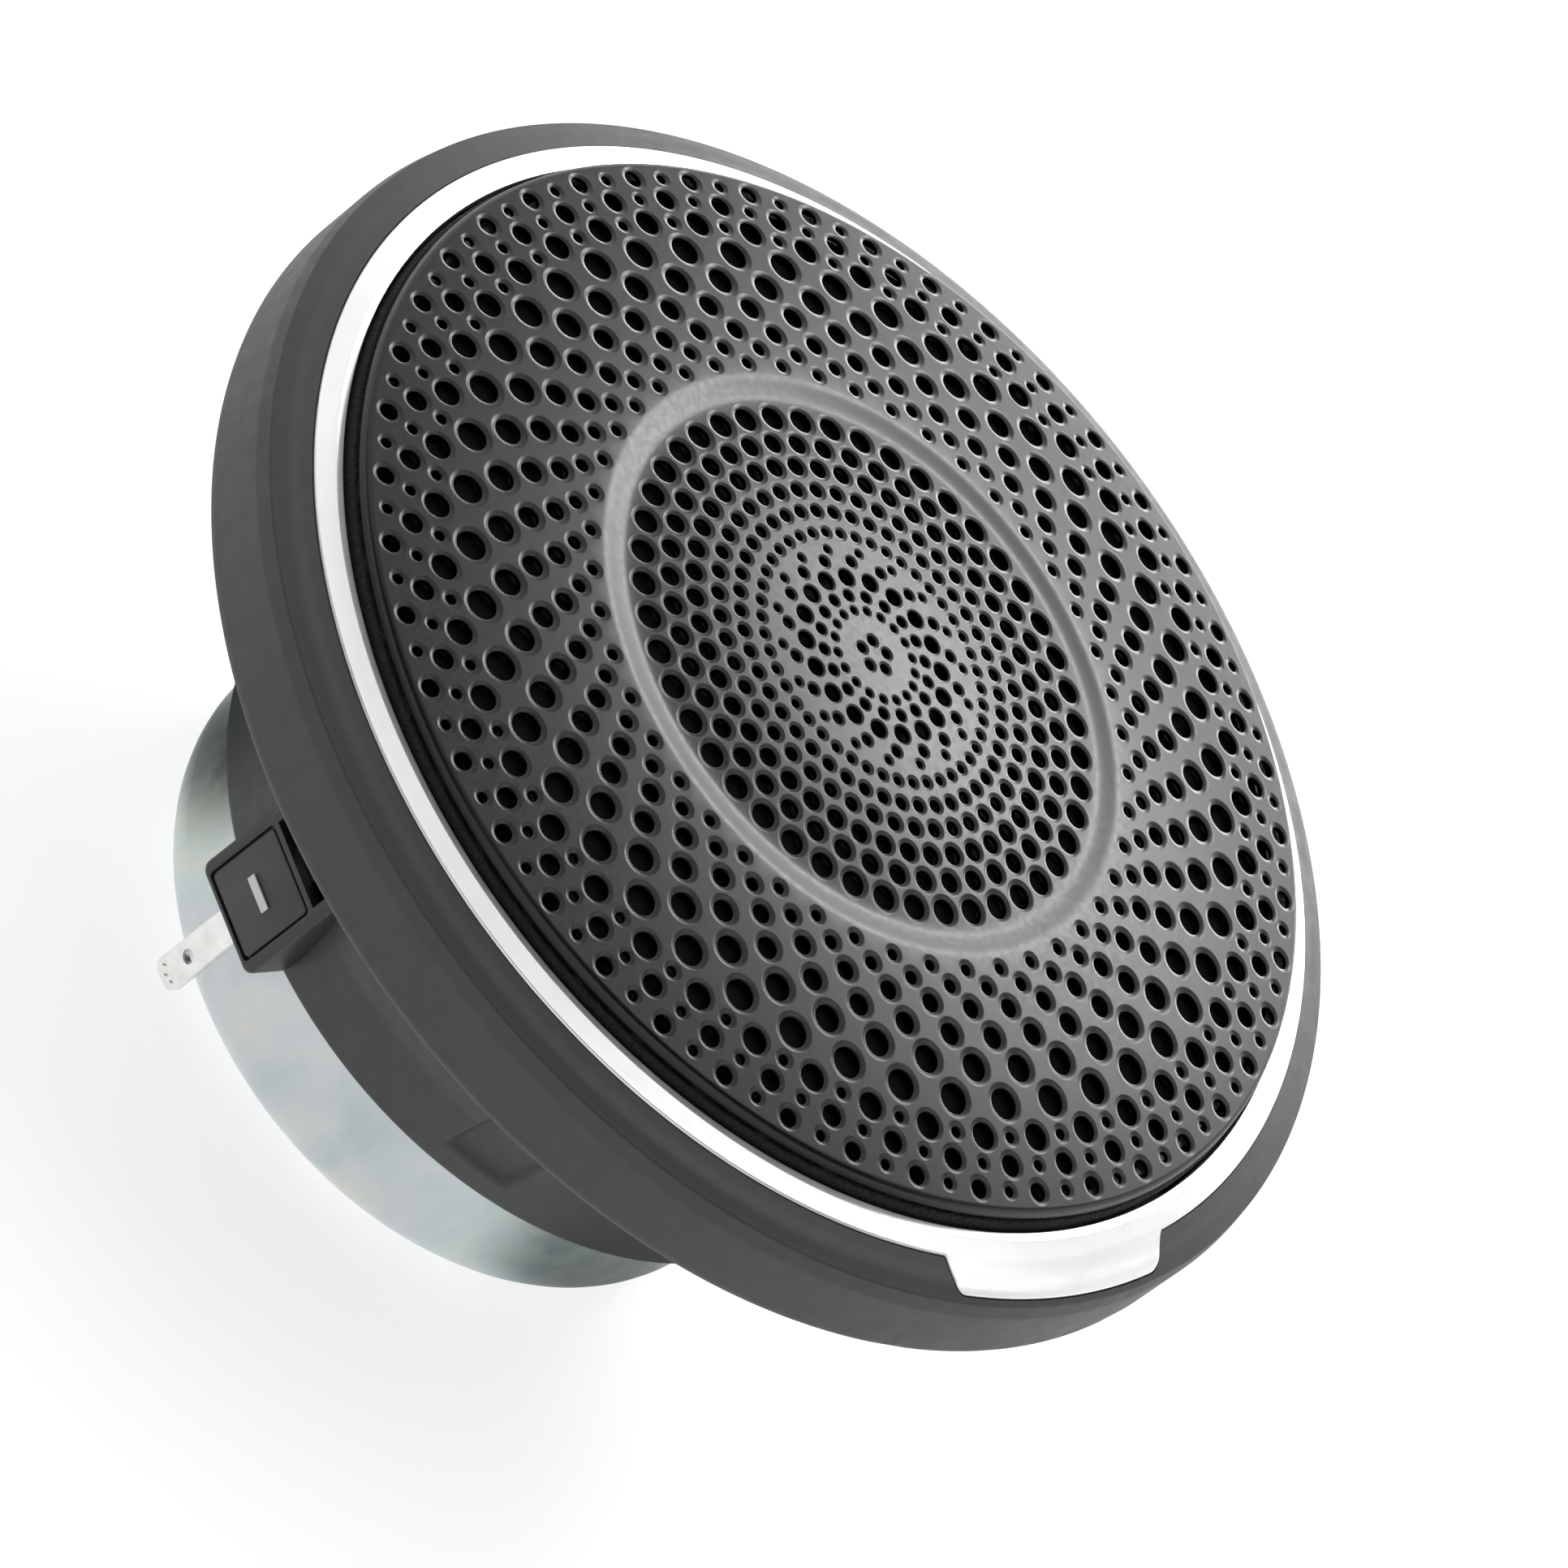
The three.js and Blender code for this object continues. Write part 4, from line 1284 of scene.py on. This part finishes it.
def make_reflected_shade(name, x, y, radius, glow):
    """A round patch of painted shade for reflections, dim in its middle and as bright as the floor at its
    edge.
    """
    s = Surface(name, Roughness=0.9, Specular_IOR_Level=0.0)
    away = s.node("ShaderNodeVectorMath", operation="LENGTH")
    s.link(s.object_space(), away.inputs[0])
    share = s.spread(away.outputs["Value"], 0.25 * radius, radius, 0, 1)
    # Painted shade: a dark middle that the motor reflects, fading out to the floor's colour at the edge.
    s.colour(share, [(0.0, (0.01, 0.02, 0.018)), (1.0, grey(0.5))])
    s.shader.inputs["Emission Color"].default_value = (0.92, 1, 0.98, 1)
    s.link(s.spread(share, 0, 1, glow, FLOOR_GLOW), s.shader.inputs["Emission Strength"])
    corners = [(u * radius * MM, v * radius * MM, 0) for u, v in spokes(0, 40)]
    reflected_shade_disc = flat_piece(name, corners, s.material)
    reflected_shade_disc.location = (x * MM, y * MM, REFLECTED_SHADE_HEIGHT)
    reflected_shade_disc.visible_camera = False
    reflected_shade_disc.visible_shadow = False
    reflected_shade_disc.visible_diffuse = False


for row in REFLECTED_SHADE_PATCHES:
    make_reflected_shade(*row)

# The camera looks at the point on the axis 44 mm up, from azimuth 202 and elevation 39 degrees, rolled.
CAMERA_TILT = 0.893349  # radians from straight down the axis
CAMERA_TURN = -0.645006  # radians
CAMERA_PLACE = (-0.1211, -4.5446, 855.4487)  # the hub's place as the camera sees it
FOCAL = 253.508
HUB_HEIGHT = 44.0
AZIMUTH_OFFSET = 112.05  # degrees


def camera_axes():
    """The camera's right, down and forward directions and its place in the part's frame."""
    st, ct = math.sin(CAMERA_TILT), math.cos(CAMERA_TILT)
    axis = np.array([st * math.cos(CAMERA_TURN), st * math.sin(CAMERA_TURN), -ct])
    u = np.cross(axis, [0, 0, 1.0])
    u /= np.linalg.norm(u)
    v = np.cross(axis, u)
    a = math.radians(-AZIMUTH_OFFSET)
    x = math.cos(a) * u + math.sin(a) * v
    b = math.radians(90 - AZIMUTH_OFFSET)
    y = math.cos(b) * u + math.sin(b) * v
    basis = np.vstack((x, y, axis))
    t = np.array(CAMERA_PLACE)
    place = np.array([0, 0, HUB_HEIGHT]) - basis @ t
    return basis[:, 0], basis[:, 1], basis[:, 2], place


RIGHT, DOWN, FORWARD, CAMERA_AT = camera_axes()

camera_data = bpy.data.cameras.new("camera")
camera_data.sensor_width = 36
camera_data.lens = FOCAL
camera_data.clip_start = 0.05
camera_data.clip_end = 50
camera = bpy.data.objects.new("camera", camera_data)
bpy.context.scene.collection.objects.link(camera)
pose = Matrix.Identity(4)
for row in range(3):
    pose[row][0] = RIGHT[row]
    pose[row][1] = -DOWN[row]
    pose[row][2] = -FORWARD[row]
    pose[row][3] = CAMERA_AT[row] * MM
camera.matrix_world = pose
bpy.context.scene.camera = camera

TARGET = Vector((0, 0, 0.035))
LIGHT_DISTANCE = 1.6

# name, azimuth, elevation, width and height as shares of the distance, radiant power at one metre
LIGHTS = (
    ("key", 18.7, 37.1, 0.318, 0.192, 4.2),
    ("overhead", 22.4, 88.0, 0.6, 0.6, 1.0),
    ("high_behind_key", 22.4, 58.0, 0.6, 0.6, 0.5),
    ("high_back", 94.4, 58.0, 0.6, 0.6, 1.0),
    ("high_left", 166.4, 58.0, 0.6, 0.6, 1.0),
    ("high_right", 310.4, 58.0, 0.6, 0.6, 2.0),
    ("middle_key", 337.4, 33.0, 0.6, 0.6, 0.5),
    ("middle_back", 67.4, 33.0, 0.6, 0.6, 1.2),
    ("middle_top", 112.4, 33.0, 0.6, 0.6, 1.2),
    ("low_back", 58.4, 8.0, 0.6, 0.6, 1.0),
    ("low_top", 94.4, 8.0, 0.6, 0.6, 1.0),
    ("low_key", 346.4, 8.0, 0.6, 0.6, 1.2),
    ("low_right", 310.4, 8.0, 0.6, 0.6, 1.7),
    ("low_front", 238.4, 8.0, 0.6, 0.6, 1.5),
    ("low_left", 202.4, 8.0, 0.6, 0.6, 1.4),
    ("low_behind_key", 22.4, 6.0, 0.7, 0.2, 5.6),
)


def soft_light(name, azimuth, elevation, width, height, power):
    """A rectangular light at LIGHT_DISTANCE from the target and facing it."""
    a, e = math.radians(azimuth), math.radians(elevation)
    direction = Vector((math.cos(e) * math.cos(a), math.cos(e) * math.sin(a), math.sin(e)))
    data = bpy.data.lights.new(name, "AREA")
    data.shape = "RECTANGLE"
    data.size, data.size_y = width * LIGHT_DISTANCE, height * LIGHT_DISTANCE
    data.energy = power * LIGHT_DISTANCE**2
    light = bpy.data.objects.new(name, data)
    light.location = TARGET + direction * LIGHT_DISTANCE
    light.rotation_mode = "QUATERNION"
    light.rotation_quaternion = (-direction).to_track_quat("-Z", "Y")
    light.visible_camera = False
    bpy.context.scene.collection.objects.link(light)


for row in LIGHTS:
    soft_light(*row)

# The white backdrop is seen by the camera only, so the lights above do all the lighting.
world = bpy.data.worlds.new("studio")
world.use_nodes = True
backdrop = world.node_tree.nodes["Background"]
backdrop.inputs["Color"].default_value = (1, 1, 1, 1)
backdrop.inputs["Strength"].default_value = 1.0
world.cycles_visibility.diffuse = False
world.cycles_visibility.glossy = False
world.cycles_visibility.transmission = False
bpy.context.scene.world = world
bpy.context.scene.view_settings.view_transform = "Standard"
bpy.context.scene.view_settings.look = "None"
